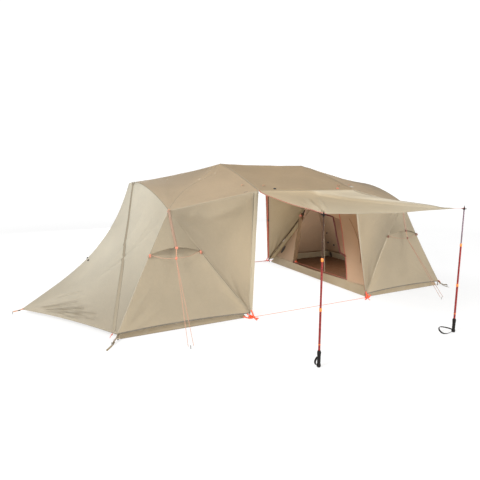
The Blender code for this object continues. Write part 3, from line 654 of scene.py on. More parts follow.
class Mesh:
    """Grids gathered into one mesh. Each keeps its own finish, and turn mirrors what is added."""

    def __init__(self, turn=(1.0, 1.0, 1.0)):
        self.turn = np.array(turn)
        self.points = []
        self.faces = []
        self.uvs = []
        self.finish = []
        self.materials = []
        self.count = 0

    def put(self, grid, faces, uvs, kind):
        material = finish(kind)
        if material not in self.materials:
            self.materials.append(material)
        self.points.append(grid.reshape(-1, 3))
        self.uvs.append(uvs.reshape(-1, 2))
        self.faces.append(faces + self.count)
        self.finish.append(np.full(len(faces), self.materials.index(material)))
        self.count += grid.shape[0] * grid.shape[1]

    def sheet(self, grid, kind, inside, shown=None):
        """Add an open sheet, turned away from the point inside. Shown is a mask of its quads."""
        grid = grid * self.turn
        faces = grid_faces(grid)
        if shown is not None:
            faces = faces[shown.reshape(-1)]
        corner = grid.reshape(-1, 3)[faces]
        normal = np.cross(corner[:, 2] - corner[:, 0], corner[:, 3] - corner[:, 1])
        if np.sum(normal * (corner.mean(axis=1) - self.turn * inside)) < 0.0:
            faces = faces[:, ::-1]
        self.put(grid, faces, grid_lengths(grid), kind)

    def closed(self, grid, uvs, kind):
        """Add a closed shape as it is, turned outwards by the sign of its volume."""
        flat = grid.reshape(-1, 3)
        a, b, c, d = np.moveaxis((flat - flat.mean(axis=0))[grid_faces(grid)], 1, 0)
        if np.sum(np.cross(a, b) * c) + np.sum(np.cross(a, c) * d) < 0.0:
            grid = grid[:, ::-1]
            uvs = uvs[:, ::-1]
        self.put(grid, grid_faces(grid), uvs, kind)

    def sweep(self, path, up, profile, kind, scale=1.0):
        """Carry a closed profile (across, out) along a path. Out is as near to up as it can be."""
        path = path * self.turn
        along = unit(np.gradient(path, axis=0))
        across = unit(np.cross(along, self.turn * up))
        out = np.cross(across, along)
        profile = np.concatenate([profile, profile[:1]])
        scale = (np.ones(len(path)) * scale)[:, None, None]
        rings = path[:, None] + scale * (across[:, None] * profile[:, :1] + out[:, None] * profile[:, 1:])
        way = way_along(path)
        way = np.concatenate([way[:1], way, way[-1:]])
        uvs = np.stack(np.broadcast_arrays(way[:, None], way_along(profile)), axis=-1)
        self.closed(capped(rings), uvs, kind)

    def tube(self, path, radius, kind, sides=12, up=(0.0, 0.0, 1.0)):
        self.sweep(path, up, circle(radius, sides), kind)

    def ribbon(self, path, normals, width, thickness, kind, scale=1.0):
        self.sweep(path, normals, band(width, thickness), kind, scale)

    def sewn(self, cloth, u, v, width, thickness, kind, lift=TAPE_LIFT):
        """A ribbon along a line of a cloth, on its inner side where lift is below zero."""
        normals = cloth.normal(u, v) * math.copysign(1.0, lift)
        self.ribbon(cloth.at(u, v, lift), normals, width, thickness, kind)

    def loop(self, place, along, out, radius, width, kind):
        """A half circle of webbing that stands on a surface."""
        angle = np.linspace(0.0, math.pi, 13)[:, None]
        ray = np.cos(angle) * along + np.sin(angle) * out
        self.ribbon(place + radius * ray, ray, width, LOOP_THICKNESS, kind)

    def lathe(self, place, profile, kind, sides=20):
        """An upright turned shape. Its (radius, height) pairs begin and end on the axis through place."""
        profile = np.array(profile)[:, None]
        angle = np.linspace(0.0, 2.0 * math.pi, sides + 1)
        ring = np.stack([-np.sin(angle), np.cos(angle), 0.0 * angle], axis=1)
        grid = self.turn * place + profile[..., :1] * ring + profile[..., 1:] * np.array([0.0, 0.0, 1.0])
        self.closed(grid, grid_lengths(grid), kind)

    def pebble(self, place, size, axes, kind, power=0.35):
        """A rounded block: a ball, its sines and cosines raised to a power under 1, so it fills its box."""
        lat = np.linspace(-0.5 * math.pi, 0.5 * math.pi, 9)[:, None]
        lon = np.linspace(0.0, 2.0 * math.pi, 17)
        x, y, z = np.cos(lat) * np.cos(lon), np.cos(lat) * np.sin(lon), np.sin(lat) + 0.0 * lon
        ball = np.stack([x, y, z], axis=-1)
        ball = np.sign(ball) * np.abs(ball) ** power
        grid = self.turn * (place + 0.5 * (ball * size) @ np.asarray(axes))
        self.closed(grid, grid_lengths(grid), kind)

    def build(self, name, slot, *nodes):
        """Make the piece, which stands for the given nodes of the solids."""
        faces = np.concatenate(self.faces)
        uvs = np.concatenate(self.uvs)
        mesh = bpy.data.meshes.new(name)
        mesh.from_pydata((np.concatenate(self.points) + MID).tolist(), [], faces.tolist())
        layer = mesh.uv_layers.new(name="UVMap")
        layer.data.foreach_set("uv", uvs[faces.reshape(-1)].astype(np.float32).reshape(-1))
        mesh.polygons.foreach_set("material_index", np.concatenate(self.finish).astype(np.int32))
        for material in self.materials:
            mesh.materials.append(material)
        work = bmesh.new()
        work.from_mesh(mesh)
        bmesh.ops.remove_doubles(work, verts=work.verts, dist=1e-6)
        work.to_mesh(mesh)
        work.free()
        mesh.shade_smooth()
        mesh.set_sharp_from_angle(angle=math.radians(50.0))
        piece = placed(name, mesh)
        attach(piece, "root")
        if nodes:
            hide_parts(*nodes)
        return piece


def placed(name, data, place=(0.0, 0.0, 0.0)):
    made = bpy.data.objects.new(name, data)
    made.location = place
    bpy.context.scene.collection.objects.link(made)
    return made


def thicken(piece, thickness):
    """Give an open sheet its thickness, on its inner side."""
    solid = piece.modifiers.new("thickness", "SOLIDIFY")
    solid.thickness = thickness
    solid.offset = -1.0
    solid.use_rim = True


def cloth_sheet(node, cloth, us, vs, turn, kind, slot="fly_cloth"):
    """One stretched sheet."""
    mesh = Mesh(turn)
    grid = cloth.at(us[:, None], vs[None, :])
    mesh.sheet(grid, kind, cloth.inside)
    piece = mesh.build("cloth_" + node.removeprefix("fly_"), slot, node)
    thicken(piece, measures().cloth)


def joined_sheet(node, mesh, slot):
    """A sheet sewn from several grids, declared as one cut of a given width and the same area."""
    piece = mesh.build("cloth_" + node, slot, node)
    thicken(piece, measures().cloth)


# Materials.


class Tree:
    """Short ways to add nodes to a tree and link them."""

    def __init__(self, tree):
        self.tree = tree

    def fill(self, node, inputs):
        for key, value in inputs.items():
            if isinstance(value, bpy.types.NodeSocket):
                self.tree.links.new(value, node.inputs[key])
            else:
                node.inputs[key].default_value = value
        return node

    def node(self, kind, inputs=None, **settings):
        made = self.tree.nodes.new("ShaderNode" + kind)
        for key, value in settings.items():
            setattr(made, key, value)
        return self.fill(made, inputs or {})

    def math(self, operation, a, b=0.0):
        return self.node("Math", {0: a, 1: b}, operation=operation).outputs[0]

    def vector(self, operation, a, b=(0.0, 0.0, 0.0), output="Vector"):
        return self.node("VectorMath", {0: a, 1: b}, operation=operation).outputs[output]

    def parts(self, vector):
        return self.node("SeparateXYZ", {0: vector}).outputs

    def ramp(self, value, low, high, to_low=0.0, to_high=1.0):
        inputs = {"Value": value, "From Min": low, "From Max": high, "To Min": to_low, "To Max": to_high}
        return self.node("MapRange", inputs, interpolation_type="SMOOTHSTEP").outputs[0]

    def noise(self, vector, scale, detail, roughness=0.5, distortion=0.0):
        inputs = {"Vector": vector, "Scale": scale, "Detail": detail, "Roughness": roughness}
        return self.node("TexNoise", {**inputs, "Distortion": distortion}).outputs[0]

    def blend(self, factor, a, b):
        return self.node("Mix", {0: factor, 6: a, 7: b}, data_type="RGBA").outputs[2]

    def bump(self, height, strength, distance, **under):
        inputs = {"Height": height, "Strength": strength, "Distance": distance, **under}
        return self.node("Bump", inputs).outputs[0]

    def group(self, tree, **inputs):
        return self.node("Group", inputs, node_tree=tree).outputs


def new_group(name, **inputs):
    """Begin a group of nodes: its tree, and the sockets of its coordinate and of its other inputs."""
    t = Tree(bpy.data.node_groups.new(name, "ShaderNodeTree"))
    for label, default in {"Coordinate": (0.0, 0.0, 0.0), **inputs}.items():
        kind = "NodeSocketFloat" if isinstance(default, float) else "NodeSocketVector"
        t.tree.interface.new_socket(name=label, in_out="INPUT", socket_type=kind).default_value = default
    return t, t.tree.nodes.new("NodeGroupInput").outputs


def end_group(t, **outputs):
    for label in outputs:
        t.tree.interface.new_socket(name=label, in_out="OUTPUT", socket_type="NodeSocketFloat")
    t.fill(t.tree.nodes.new("NodeGroupOutput"), outputs)
    return t.tree


@cache
def weave_group():
    """Ripstop weave: a grid of thicker threads over a fine cloth grain. Coordinates are in metres."""
    t, given = new_group("ripstop_weave", Square=0.006, Line=0.16)
    parts = t.parts(given["Coordinate"])
    edge = t.math("SUBTRACT", 1.0, given["Line"])
    lines = []
    for axis in (0, 1):
        place = t.math("FRACT", t.math("DIVIDE", parts[axis], given["Square"]))
        from_middle = t.math("MULTIPLY", t.math("ABSOLUTE", t.math("SUBTRACT", place, 0.5)), 2.0)
        lines.append(t.ramp(from_middle, edge, 1.0))
    threads = t.math("MAXIMUM", lines[0], lines[1])
    grain = t.noise(given["Coordinate"], 900.0, 1.0)
    height = t.math("ADD", t.math("MULTIPLY", threads, 0.7), t.math("MULTIPLY", grain, 0.3))
    return end_group(t, Threads=threads, Height=height)


@cache
def age_group():
    """Uneven shade of used cloth, its fine crumples, and dust that gathers near the ground."""
    t, given = new_group("cloth_age")
    place = given["Coordinate"]
    broad = t.noise(place, 1.7, 3.0, 0.55)
    fine = t.noise(place, 38.0, 2.0, 0.6)
    shade = t.math("ADD", t.math("MULTIPLY", broad, 0.8), t.math("MULTIPLY", fine, 0.2))
    crumple = t.noise(place, 14.0, 4.0, 0.55, 1.2)
    low = t.ramp(t.parts(place)[2], 0.0, 0.22, 1.0, 0.0)
    dust = t.math("MULTIPLY", low, t.ramp(t.noise(place, 9.0, 4.0, 0.6), 0.35, 0.75))
    return end_group(t, Shade=shade, Crumple=crumple, Dust=dust)


@cache
def painted_light_mask_group():
    """A mask that grows across the tent along one way, for painted light or painted shade in the cloth's
    colour there.

    x and y count from the tent's middle, and Mirror folds them over on themselves."""
    t, given = new_group("cloth_tone", Way=(0.0, 0.0, 1.0), From=0.0, To=1.0, Mirror=1.0)
    centred = t.vector("SUBTRACT", given["Coordinate"], (0.0, float(MID[1]), 0.0))
    inputs = {0: given["Mirror"], 4: centred, 5: t.vector("ABSOLUTE", centred)}
    place = t.node("Mix", inputs, data_type="VECTOR").outputs[1]
    along = t.vector("DOT_PRODUCT", place, given["Way"], "Value")
    return end_group(t, Mask=t.ramp(along, given["From"], given["To"]))


@cache
def webbing_group():
    """Woven band: ribs across its length and a row of stitches. Coordinates are in metres, x along."""
    t, given = new_group("webbing_weave", Rib=0.0022)
    along = t.parts(given["Coordinate"])[0]
    wave = t.math("SINE", t.math("MULTIPLY", t.math("DIVIDE", along, given["Rib"]), 2.0 * math.pi))
    ribs = t.math("ADD", t.math("MULTIPLY", wave, 0.5), 0.5)
    step = t.math("FRACT", t.math("DIVIDE", along, 0.0045))
    stitches = t.math("MULTIPLY", t.ramp(step, 0.15, 0.25), t.ramp(step, 0.75, 0.85, 1.0, 0.0))
    return end_group(t, Ribs=ribs, Stitches=stitches)


@cache
def wear_group():
    """Fine scratches and smudges of metal and plastic."""
    t, given = new_group("fitting_wear", Scale=60.0)
    smudge = t.noise(given["Coordinate"], given["Scale"], 4.0, 0.6)
    long_way = t.node("Mapping", {"Vector": given["Coordinate"], "Scale": (1.0, 1.0, 0.06)})
    scratch = t.ramp(t.noise(long_way.outputs[0], 700.0, 2.0), 0.6, 0.72)
    return end_group(t, Smudge=smudge, Scratch=scratch)


def start_material(name):
    material = bpy.data.materials.new(name)
    material.use_nodes = True
    t = Tree(material.node_tree)
    coordinates = t.node("TexCoord").outputs
    return material, t, t.tree.nodes["Principled BSDF"], coordinates["UV"], coordinates["Object"]


def rgb(colour, factor=1.0):
    return tuple(min(1.0, channel * factor) for channel in colour) + (1.0,)


def cloth_material(
    name, colour, see_through, painted_shading=(), glow=1.6, roughness=0.62, square=0.006, crumple=0.35, dust=0.35,
):
    """Coated nylon: ripstop threads, uneven shade, dust low down, and light from behind.

    Each patch of painted light or shade is a way, where along it the patch begins and is full, a tint, and
    whether it is mirrored."""
    material, t, shader, uv, place = start_material(name)
    weave = t.group(weave_group(), Coordinate=uv, Square=square)
    age = t.group(age_group(), Coordinate=place)
    base = t.blend(t.ramp(age["Shade"], 0.3, 0.7), rgb(colour, 0.94), rgb(colour, 1.05))
    # Painted light and shade: each mask tints the colour paler or darker where the light falls more or less.
    for way, start, full, tint, mirror in painted_shading:
        mask = t.group(painted_light_mask_group(), Coordinate=place, Way=way, From=start, To=full, Mirror=mirror)
        base = t.blend(mask[0], base, t.vector("MULTIPLY", base, tint))
    lined = t.blend(t.math("MULTIPLY", weave["Threads"], 0.22), base, rgb(colour, 1.12))
    dusty = t.blend(t.math("MULTIPLY", age["Dust"], dust), lined, (0.40, 0.34, 0.26, 1.0))
    soft = t.bump(age["Crumple"], crumple, 0.006, Normal=t.bump(weave["Height"], 0.25, 0.0004))
    t.fill(shader, {
        "Base Color": dusty,
        "Roughness": t.ramp(age["Crumple"], 0.3, 0.7, roughness - 0.05, roughness + 0.07),
        "Specular IOR Level": 0.2,
        "Normal": soft,
    })
    if see_through > 0.0:
        brighter = t.vector("MULTIPLY", dusty, (glow, glow, glow))
        behind = t.node("BsdfTranslucent", {"Color": brighter, "Normal": soft})
        both = t.node("MixShader", {0: see_through, 1: shader.outputs[0], 2: behind.outputs[0]})
        t.fill(t.tree.nodes["Material Output"], {"Surface": both.outputs[0]})
    return material


def webbing_material(name, colour, roughness=0.6, rib=0.0022):
    """Woven webbing or cord: ribs, and a slightly paler row of stitches."""
    material, t, shader, uv, place = start_material(name)
    weave = t.group(webbing_group(), Coordinate=uv, Rib=rib)
    age = t.group(age_group(), Coordinate=place)
    base = t.blend(t.ramp(weave["Ribs"], 0.1, 0.9), rgb(colour, 0.82), rgb(colour, 1.05))
    stitched = t.blend(t.math("MULTIPLY", weave["Stitches"], 0.25), base, rgb(colour, 1.3))
    height = t.math("ADD", weave["Ribs"], t.math("MULTIPLY", weave["Stitches"], 0.6))
    t.fill(shader, {
        "Base Color": t.blend(t.math("MULTIPLY", age["Dust"], 0.25), stitched, (0.38, 0.32, 0.25, 1.0)),
        "Roughness": t.ramp(age["Shade"], 0.3, 0.7, roughness - 0.08, roughness + 0.08),
        "Normal": t.bump(height, 0.5, 0.0005),
        "Sheen Weight": 0.05,
    })
    return material


def fitting_material(name, colour, roughness=0.4, metallic=0.0, worn=(0.5, 0.5, 0.5), gloss=0.5):
    """Plastic or anodised metal, with smudges in its gloss and fine paler scratches."""
    material, t, shader, _, place = start_material(name)
    wear = t.group(wear_group(), Coordinate=place, Scale=60.0)
    base = t.blend(t.ramp(wear["Smudge"], 0.3, 0.7), rgb(colour, 0.85), rgb(colour, 1.15))
    t.fill(shader, {
        "Base Color": t.blend(t.math("MULTIPLY", wear["Scratch"], 0.25), base, rgb(worn)),
        "Roughness": t.ramp(wear["Smudge"], 0.25, 0.75, roughness - 0.1, roughness + 0.15),
        "Metallic": metallic,
        "Specular IOR Level": gloss,
        "Normal": t.bump(wear["Smudge"], 0.15, 0.0006),
    })
    return material


def mesh_material(name, colour):
    """Insect mesh: see-through holes between fine threads."""
    material, t, shader, uv, place = start_material(name)
    weave = t.group(weave_group(), Coordinate=uv, Square=0.0016, Line=0.55)
    age = t.group(age_group(), Coordinate=place)
    t.fill(shader, {
        "Base Color": t.blend(age["Shade"], rgb(colour, 0.8), rgb(colour, 1.2)),
        "Alpha": t.ramp(weave["Threads"], 0.0, 0.5, 0.35, 1.0),
        "Roughness": 0.7,
        "Normal": t.bump(weave["Height"], 0.3, 0.0003),
    })
    return material


# Painted light and shade: where the cloth of the sides, the tails, the awning and the porch wall is painted
# darker or paler for the way light falls on it, in the form that cloth_material takes.
# Sides: a band of painted shade, then painted light towards the porch and the top.
SIDE_PAINTED_LIGHT_AND_SHADE = (
    ((-1.0, 0.0, 0.72), -0.80, -0.73, (0.84, 0.84, 0.85), 1.0),
    ((-1.0, 0.0, 0.72), -0.68, -0.25, (1.12, 1.12, 1.11), 1.0),
)
# Tails: painted shade, darker lower down and towards their sides.
TAIL_PAINTED_SHADE = (
    ((0.0, 0.0, -1.0), -0.80, -0.05, (0.79, 0.76, 0.73), 1.0),
    ((0.0, 1.0, 0.0), 0.35, 1.0, (0.88, 0.86, 0.83), 1.0),
)
# Awning: painted light, paler past the crease, towards the front edge and towards the right tip.
AWNING_PAINTED_LIGHT = (
    ((0.86, 0.51, 0.0), -0.57, -0.47, (1.17, 1.24, 1.38), 0.0),
    ((0.0, -1.0, 0.0), 1.3, 2.3, (1.03, 1.07, 1.13), 0.0),
    ((1.0, -0.4, 0.0), 0.8, 1.6, (1.06, 1.09, 1.16), 0.0),
)
# Porch wall: painted light on its near part, towards the jamb.
PORCH_WALL_PAINTED_LIGHT = (((0.0, -1.0, 0.0), 0.50, 0.75, (1.28, 1.28, 1.30), 0.0),)

# Each finish by its name: its colour, and what its kind of material takes after the colour. A colour
# is three numbers, or one of the panel's colours with a factor, or a factor for each channel.
FINISHES = (
    (cloth_material, {
        "fly_cloth": (("fly", 1.0), 0.42, SIDE_PAINTED_LIGHT_AND_SHADE),
        "roof_cloth": (("fly", (1.02, 0.98, 0.97)), 0.42),
        # The porch roof: the fly's colour darkened, as painted shade.
        "porch_cloth": (("fly", (0.91, 0.86, 0.82)), 0.42),
        "hood_cloth": (("fly", 0.90), 0.42),
        # The awning's colour is the fly's made paler: painted light.
        "awning_cloth": (("fly", 1.14), 0.42, AWNING_PAINTED_LIGHT),
        "tail_cloth": (("tail", 1.0), 0.45, TAIL_PAINTED_SHADE),
        "inner_cloth": (("inner", 1.0), 0.36, (), 1.5, 0.7, 0.005, 0.5),
        "porch_wall_cloth": (("inner", 1.0), 0.36, PORCH_WALL_PAINTED_LIGHT, 1.5, 0.7, 0.005, 0.5),
        # The rolled inner door: the inner brown much darkened, as painted shade of the roll.
        "inner_roll": ((0.115, 0.068, 0.032), 0.0, (), 1.0, 0.7, 0.005, 0.9, 0.05),
        "floor_cloth": (("floor", 1.0), 0.0, (), 1.0, 0.55, 0.004, 0.2, 0.03),
        "floor_wall": (("fly", (0.80, 0.75, 0.68)), 0.20, (), 1.6, 0.6, 0.006, 0.5),
        "lap_cloth": ((0.27, 0.155, 0.09), 0.30, (), 1.6, 0.7, 0.005, 0.5),
        "zip_flap": (("fly", 0.90), 0.1, (), 1.3, 0.6, 0.006, 0.6),
        "tail_flap": (("fly", 0.60), 0.1, (), 1.3, 0.6, 0.006, 0.6),
    }),
    (webbing_material, {
        "seam_tape": (("fly", 0.82), 0.7, 0.003),
        "hoop_tape": (("fly", 0.68), 0.7, 0.003),
        # Pale seam tape: a painted highlight along a lit fold.
        "pale_seam": (("fly", 1.25), 0.7, 0.003),
        # Dark seam tape, also used as painted shade along a shaded fold.
        "dark_seam": (("fly", 0.50), 0.7, 0.003),
        # Near-black hem tape: painted shadow in the gap under the hem.
        "hem_tape": (("fly", 0.27), 0.7, 0.003),
        "zip_tape": (("zip", 1.0), 0.6, 0.0018),
        "lap_zip": ((0.40, 0.10, 0.06), 0.6, 0.0018),
        "dark_zip": ((0.085, 0.007, 0.003), 0.8, 0.0018),
        "webbing": (("webbing", 1.0),),
        "faded_webbing": ((0.42, 0.22, 0.13),),
        "hub_webbing": ((0.255, 0.16, 0.105),),
        "khaki_webbing": ((0.22, 0.17, 0.10),),
        "brown_webbing": ((0.05, 0.028, 0.015),),
        "cord": (("cord", 1.0), 0.6, 0.003),
        "faded_cord": ((0.44, 0.22, 0.145), 0.6, 0.003),
        "red_cord": ((0.74, 0.16, 0.09), 0.6, 0.003),
        "pale_cord": ((0.52, 0.43, 0.32), 0.6, 0.003),
    }),
    (fitting_material, {
        "clip": (("webbing", 1.0), 0.35),
        "faded_clip": ((0.52, 0.17, 0.10),),
        "brown_clip": ((0.17, 0.062, 0.036),),
        "dark_clip": (("dark", 1.0),),
        "pale_clip": ((0.48, 0.47, 0.44),),
        "khaki_clip": ((0.24, 0.19, 0.14),),
        "patch": (("fly", 1.15), 0.6),
        "pole": ((0.05, 0.035, 0.03), 0.3, 0.85),
        "ferrule": ((0.55, 0.55, 0.56), 0.3, 1.0),
        "stake": ((0.30, 0.29, 0.28), 0.35, 1.0),
        "trekking_red": (("trekking", 1.0), 0.28, 0.55),
        "trekking_grey": ((0.16, 0.11, 0.13), 0.3, 0.6),
        "trekking_dark": ((0.045, 0.022, 0.012), 0.6, 0.0, (0.2, 0.12, 0.07), 0.15),
        "trekking_lock": ((0.78, 0.22, 0.03), 0.35),
        "grip": ((0.012, 0.010, 0.009), 0.75, 0.0, (0.1, 0.1, 0.1), 0.15),
    }),
    (mesh_material, {"mesh": ((0.34, 0.28, 0.19),)}),
)


@cache
def finish(name):
    """One of the tent's materials, made the first time that it is asked for."""
    make, table = next(pair for pair in FINISHES if name in pair[1])
    colour, *numbers = table[name]
    if isinstance(colour[0], str):
        colour = np.array(tuple(getattr(bpy.context.scene.tent_colours, colour[0]))) * colour[1]
    return make(name, tuple(colour), *numbers)


class TENT_OT_pod_fly(Operator):
    """Roof, side panels and tail of both pods"""

    bl_idname = "tent.pod_fly"
    bl_label = "Pod fly"

    def execute(self, context):
        for pod, px in PODS:
            turn = (px, 1.0, 1.0)
            cloth_sheet("fly_roof_" + pod, ROOF, ROOF_U, ROOF_T, turn, "roof_cloth")
            cloth_sheet("fly_tail_" + pod, TAIL, TAIL_T, TAIL_Q, turn, "tail_cloth", "tail_cloth")
            for where, sy in SIDES:
                label = where + "_" + pod
                turn = (px, sy, 1.0)
                cloth_sheet("fly_side_" + label, SIDE, SIDE_U, SIDE_V, turn, "fly_cloth")
        return {"FINISHED"}


class TENT_OT_porch_fly(Operator):
    """Porch roof, awning and rolled far door"""

    bl_idname = "tent.porch_fly"
    bl_label = "Porch fly"

    def execute(self, context):
        across = np.linspace(-1.0, 1.0, 65)
        cloth_sheet("porch_roof", PORCH, across, ROOF_T, (1.0, 1.0, 1.0), "porch_cloth")
        us, vs = np.linspace(0.0, 1.0, 97), np.linspace(0.0, 1.0, 81)
        cloth_sheet("awning", AWNING, us, vs, (1.0, 1.0, 1.0), "awning_cloth")
        rolled_door()
        return {"FINISHED"}


def rolled_door():
    """The far door rolled up: a spiral of cloth drawn along the eave, with soft dents at its ties."""
    low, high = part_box("far_door_roll")
    centre = np.array([0.0, (low.y + high.y) / 2.0, (low.z + high.z) / 2.0]) - MID
    radius = (high.z - low.z) / 2.0
    half = (high.x - low.x) / 2.0
    turn = np.linspace(0.0, 2.0 * math.pi * 3.5, 141)
    x = np.linspace(-half, half, 97)[:, None]
    tie = np.exp(-((np.abs(x) - half * 0.6) / 0.02) ** 2)
    lumps = 1.0 + 0.05 * np.sin(9.0 * x + 2.0 * np.sin(5.0 * x)) - 0.22 * tie
    spiral = radius * (0.25 + 0.75 * turn / turn.max()) * lumps * 0.93
    y = centre[1] + spiral * np.cos(turn)
    z = centre[2] + spiral * np.sin(turn) * 0.96
    grid = np.stack([x + 0.0 * turn, y, z], axis=-1)
    mesh = Mesh()
    mesh.sheet(grid, "fly_cloth", centre)
    piece = mesh.build("cloth_far_door_roll", "fly_cloth", "far_door_roll")
    thicken(piece, 0.0008)


def door_near(h):
    """The door's near edge: upright at the sill, then bent in over the corner and up to the top."""
    return np.interp(h, DOOR_NEAR_HEIGHTS, DOOR_NEAR_SHARES)


def door_far(h):
    """The door's far edge: upright, then rounded over to its top."""
    return DOOR_FAR - DOOR_CORNER * smooth((h - DOOR_TOP + 0.10) / 0.10)


def porch_share(c, h):
    """Share of the wall's half width, at height h, of a point whose place across its parts is c."""
    near, far = door_near(h), door_far(h)
    first = -1.0 + (near + 1.0) * c
    middle = near + (far - near) * (c - 1.0)
    last = far + (1.0 - far) * (c - 2.0)
    return np.where(c <= 1.0, first, np.where(c <= 2.0, middle, last))


def porch_wall_place(c, r):
    """Share and height of a point of the porch wall.

    c runs over the near part (0 to 1), the door (to 2) and the far part (to 3), and r from the
    floor tray over the door's top (1) to the arch (2)."""
    h_top = np.where(r < 1.0, DOOR_TOP, DOOR_TOP + (1.0 - DOOR_TOP) * (r - 1.0))
    low = FLOOR_WALL / inner_porch_arch(np.abs(porch_share(c, h_top)))[..., 2]
    h = np.where(r < 1.0, low + (DOOR_TOP - low) * r, h_top)
    return porch_share(c, h), h


def tray_line(top_line, shares):
    """Height of the floor tray's level top, as a share of the end wall above it."""
    return (FLOOR_WALL / top_line(np.abs(shares))[..., 2])[:, None]


class TENT_OT_inner_tents(Operator):
    """Floor tray, walls and roof of both inner tents"""

    bl_idname = "tent.inner_tents"
    bl_label = "Inner tents"

    def execute(self, context):
        for pod, px in PODS:
            canopy(pod, px)
            porch_wall(pod, px)
            floor_tray(pod, px)
        return {"FINISHED"}


def canopy(pod, px):
    """The inner tent's sides, roof and back wall, above its floor tray."""
    low = FLOOR_WALL / INNER_HUB[2]
    fine = np.linspace(0.0, 1.0, 25)
    shares = np.linspace(-1.0, 1.0, 81)
    side = inner_side_base(fine[:, None], low + (1.0 - low) * fine)
    first = tray_line(inner_end_arch, shares)
    back = back_wall_base(shares[:, None], first + (1.0 - first) * fine)
    grids = [side, side * (1.0, -1.0, 1.0), inner_roof_base(fine[:, None], shares[None, :]), back]
    mesh = Mesh((px, 1.0, 1.0))
    for grid in grids:
        mesh.sheet(grid, "inner_cloth", INNER_MIDDLE)
    joined_sheet("inner_canopy_" + pod, mesh, "inner_cloth")


def porch_wall(pod, px):
    """The inner tent's wall on the porch, with its door left open."""
    columns, rows = 28, 40
    c = steps(0.0, 1.0, 2.0, 3.0, count=columns)[:, None]
    c, r = np.broadcast_arrays(c, steps(0.0, 1.0, 2.0, count=rows))
    grid = porch_wall_base(*porch_wall_place(c, r))
    middle_c, middle_r = (0.25 * (m[:-1, :-1] + m[1:, :-1] + m[1:, 1:] + m[:-1, 1:]) for m in (c, r))
    mesh = Mesh((px, 1.0, 1.0))
    shown = (middle_c < 1.0) | (middle_c > 2.0) | (middle_r > 1.0)
    mesh.sheet(grid, "porch_wall_cloth", INNER_MIDDLE, shown)
    joined_sheet("inner_porch_wall_" + pod, mesh, "inner_cloth")


def floor_tray(pod, px):
    """Dark floor with its upright walls, which show outside below the fly's hem."""
    a = np.linspace(-1.0, 1.0, 41)
    u = np.linspace(0.0, 1.0, 33)[:, None]
    x = INNER_FOOT_OUT[0] + (INNER_FOOT_IN[0] - INNER_FOOT_OUT[0]) * u + 0.0 * a
    floor = np.stack([x, -INNER_FOOT_OUT[1] * a + 0.0 * x, 0.0 * x], axis=-1)
    rise = np.linspace(0.0, 1.0, 7)
    side = inner_side_base(np.linspace(0.0, 1.0, 41)[:, None], FLOOR_WALL / INNER_HUB[2] * rise)
    grids = [
        floor, side, side * (1.0, -1.0, 1.0),
        porch_wall_base(a[:, None], tray_line(inner_porch_arch, a) * rise),
        back_wall_base(a[:, None], tray_line(inner_end_arch, a) * rise),
    ]
    mesh = Mesh((px, 1.0, 1.0))
    mesh.sheet(floor, "floor_cloth", (1.45, 0.0, 1.0))
    for grid in grids[1:]:
        mesh.sheet(grid, "floor_wall", INNER_MIDDLE)
    joined_sheet("inner_floor_" + pod, mesh, "floor_cloth")


class TENT_OT_inner_fittings(Operator):
    """Zips, rolled door, patches and toggles of the inner tents"""

    bl_idname = "tent.inner_fittings"
    bl_label = "Inner fittings"

    def execute(self, context):
        for pod, px in PODS:
            door_zips(pod, px)
            rolled_inner_door(pod, px)
            inner_patches(pod, px)
        return {"FINISHED"}


def door_zips(pod, px):
    """The dark zip round the opening, the red one beside it, the cloth between them and a pull cord."""
    mesh = Mesh((px, 1.0, 1.0))
    h = np.linspace(0.31, DOOR_TOP, 41)
    edge, lap = door_near(h), np.interp(h, LAP_HEIGHTS, LAP_SHARES)
    share = edge[:, None] + (lap - edge)[:, None] * np.linspace(0.0, 1.0, 5)
    outer = PORCH_WALL.at(share, h[:, None], 0.0015)
    inner = (outer - PORCH_WALL.normal(share, h[:, None]) * 0.0008)[:, ::-1]
    strip = capped(np.concatenate([outer, inner, outer[:, :1]], axis=1) * mesh.turn)
    mesh.closed(strip, grid_lengths(strip), "lap_cloth")
    top_share = np.linspace(door_near(DOOR_TOP), DOOR_FAR - DOOR_CORNER, 25)
    corner_h = np.linspace(DOOR_TOP, DOOR_TOP - 0.16, 15)
    edge_share = np.concatenate([edge, top_share[1:], door_far(corner_h[1:])])
    edge_h = np.concatenate([h, np.full(24, DOOR_TOP), corner_h[1:]])
    lap_h = np.linspace(0.10, 0.78, 61)
    tape = measures().zip_tape
    for a, h, width, kind in (
        (edge_share, edge_h, tape * 1.5, "dark_zip"),
        (np.interp(lap_h, LAP_HEIGHTS, LAP_SHARES), lap_h, tape * 0.8, "lap_zip"),
        ((-0.575, -0.59, -0.605), (0.335, 0.325, 0.318), 0.010, "dark_zip"),
        ((-0.675, -0.30, 0.05, 0.42), (0.100, 0.098, 0.098, 0.098), 0.0038, "lap_zip"),
        ((-0.55, -0.63, -0.71, -0.77, -0.81), (0.70, 0.62, 0.52, 0.41, 0.30), 0.006, "lap_cloth"),
    ):
        mesh.sewn(PORCH_WALL, a, h, width, 0.0016, kind, 0.003)
    cord = PORCH_WALL.at((-0.24, -0.27, -0.308), (0.665, 0.35, 0.10), 0.010)
    mesh.tube(line_points(cord, 17), 0.0028, "pale_cord", 8)
    mesh.build("door_zips_" + pod, "webbing")


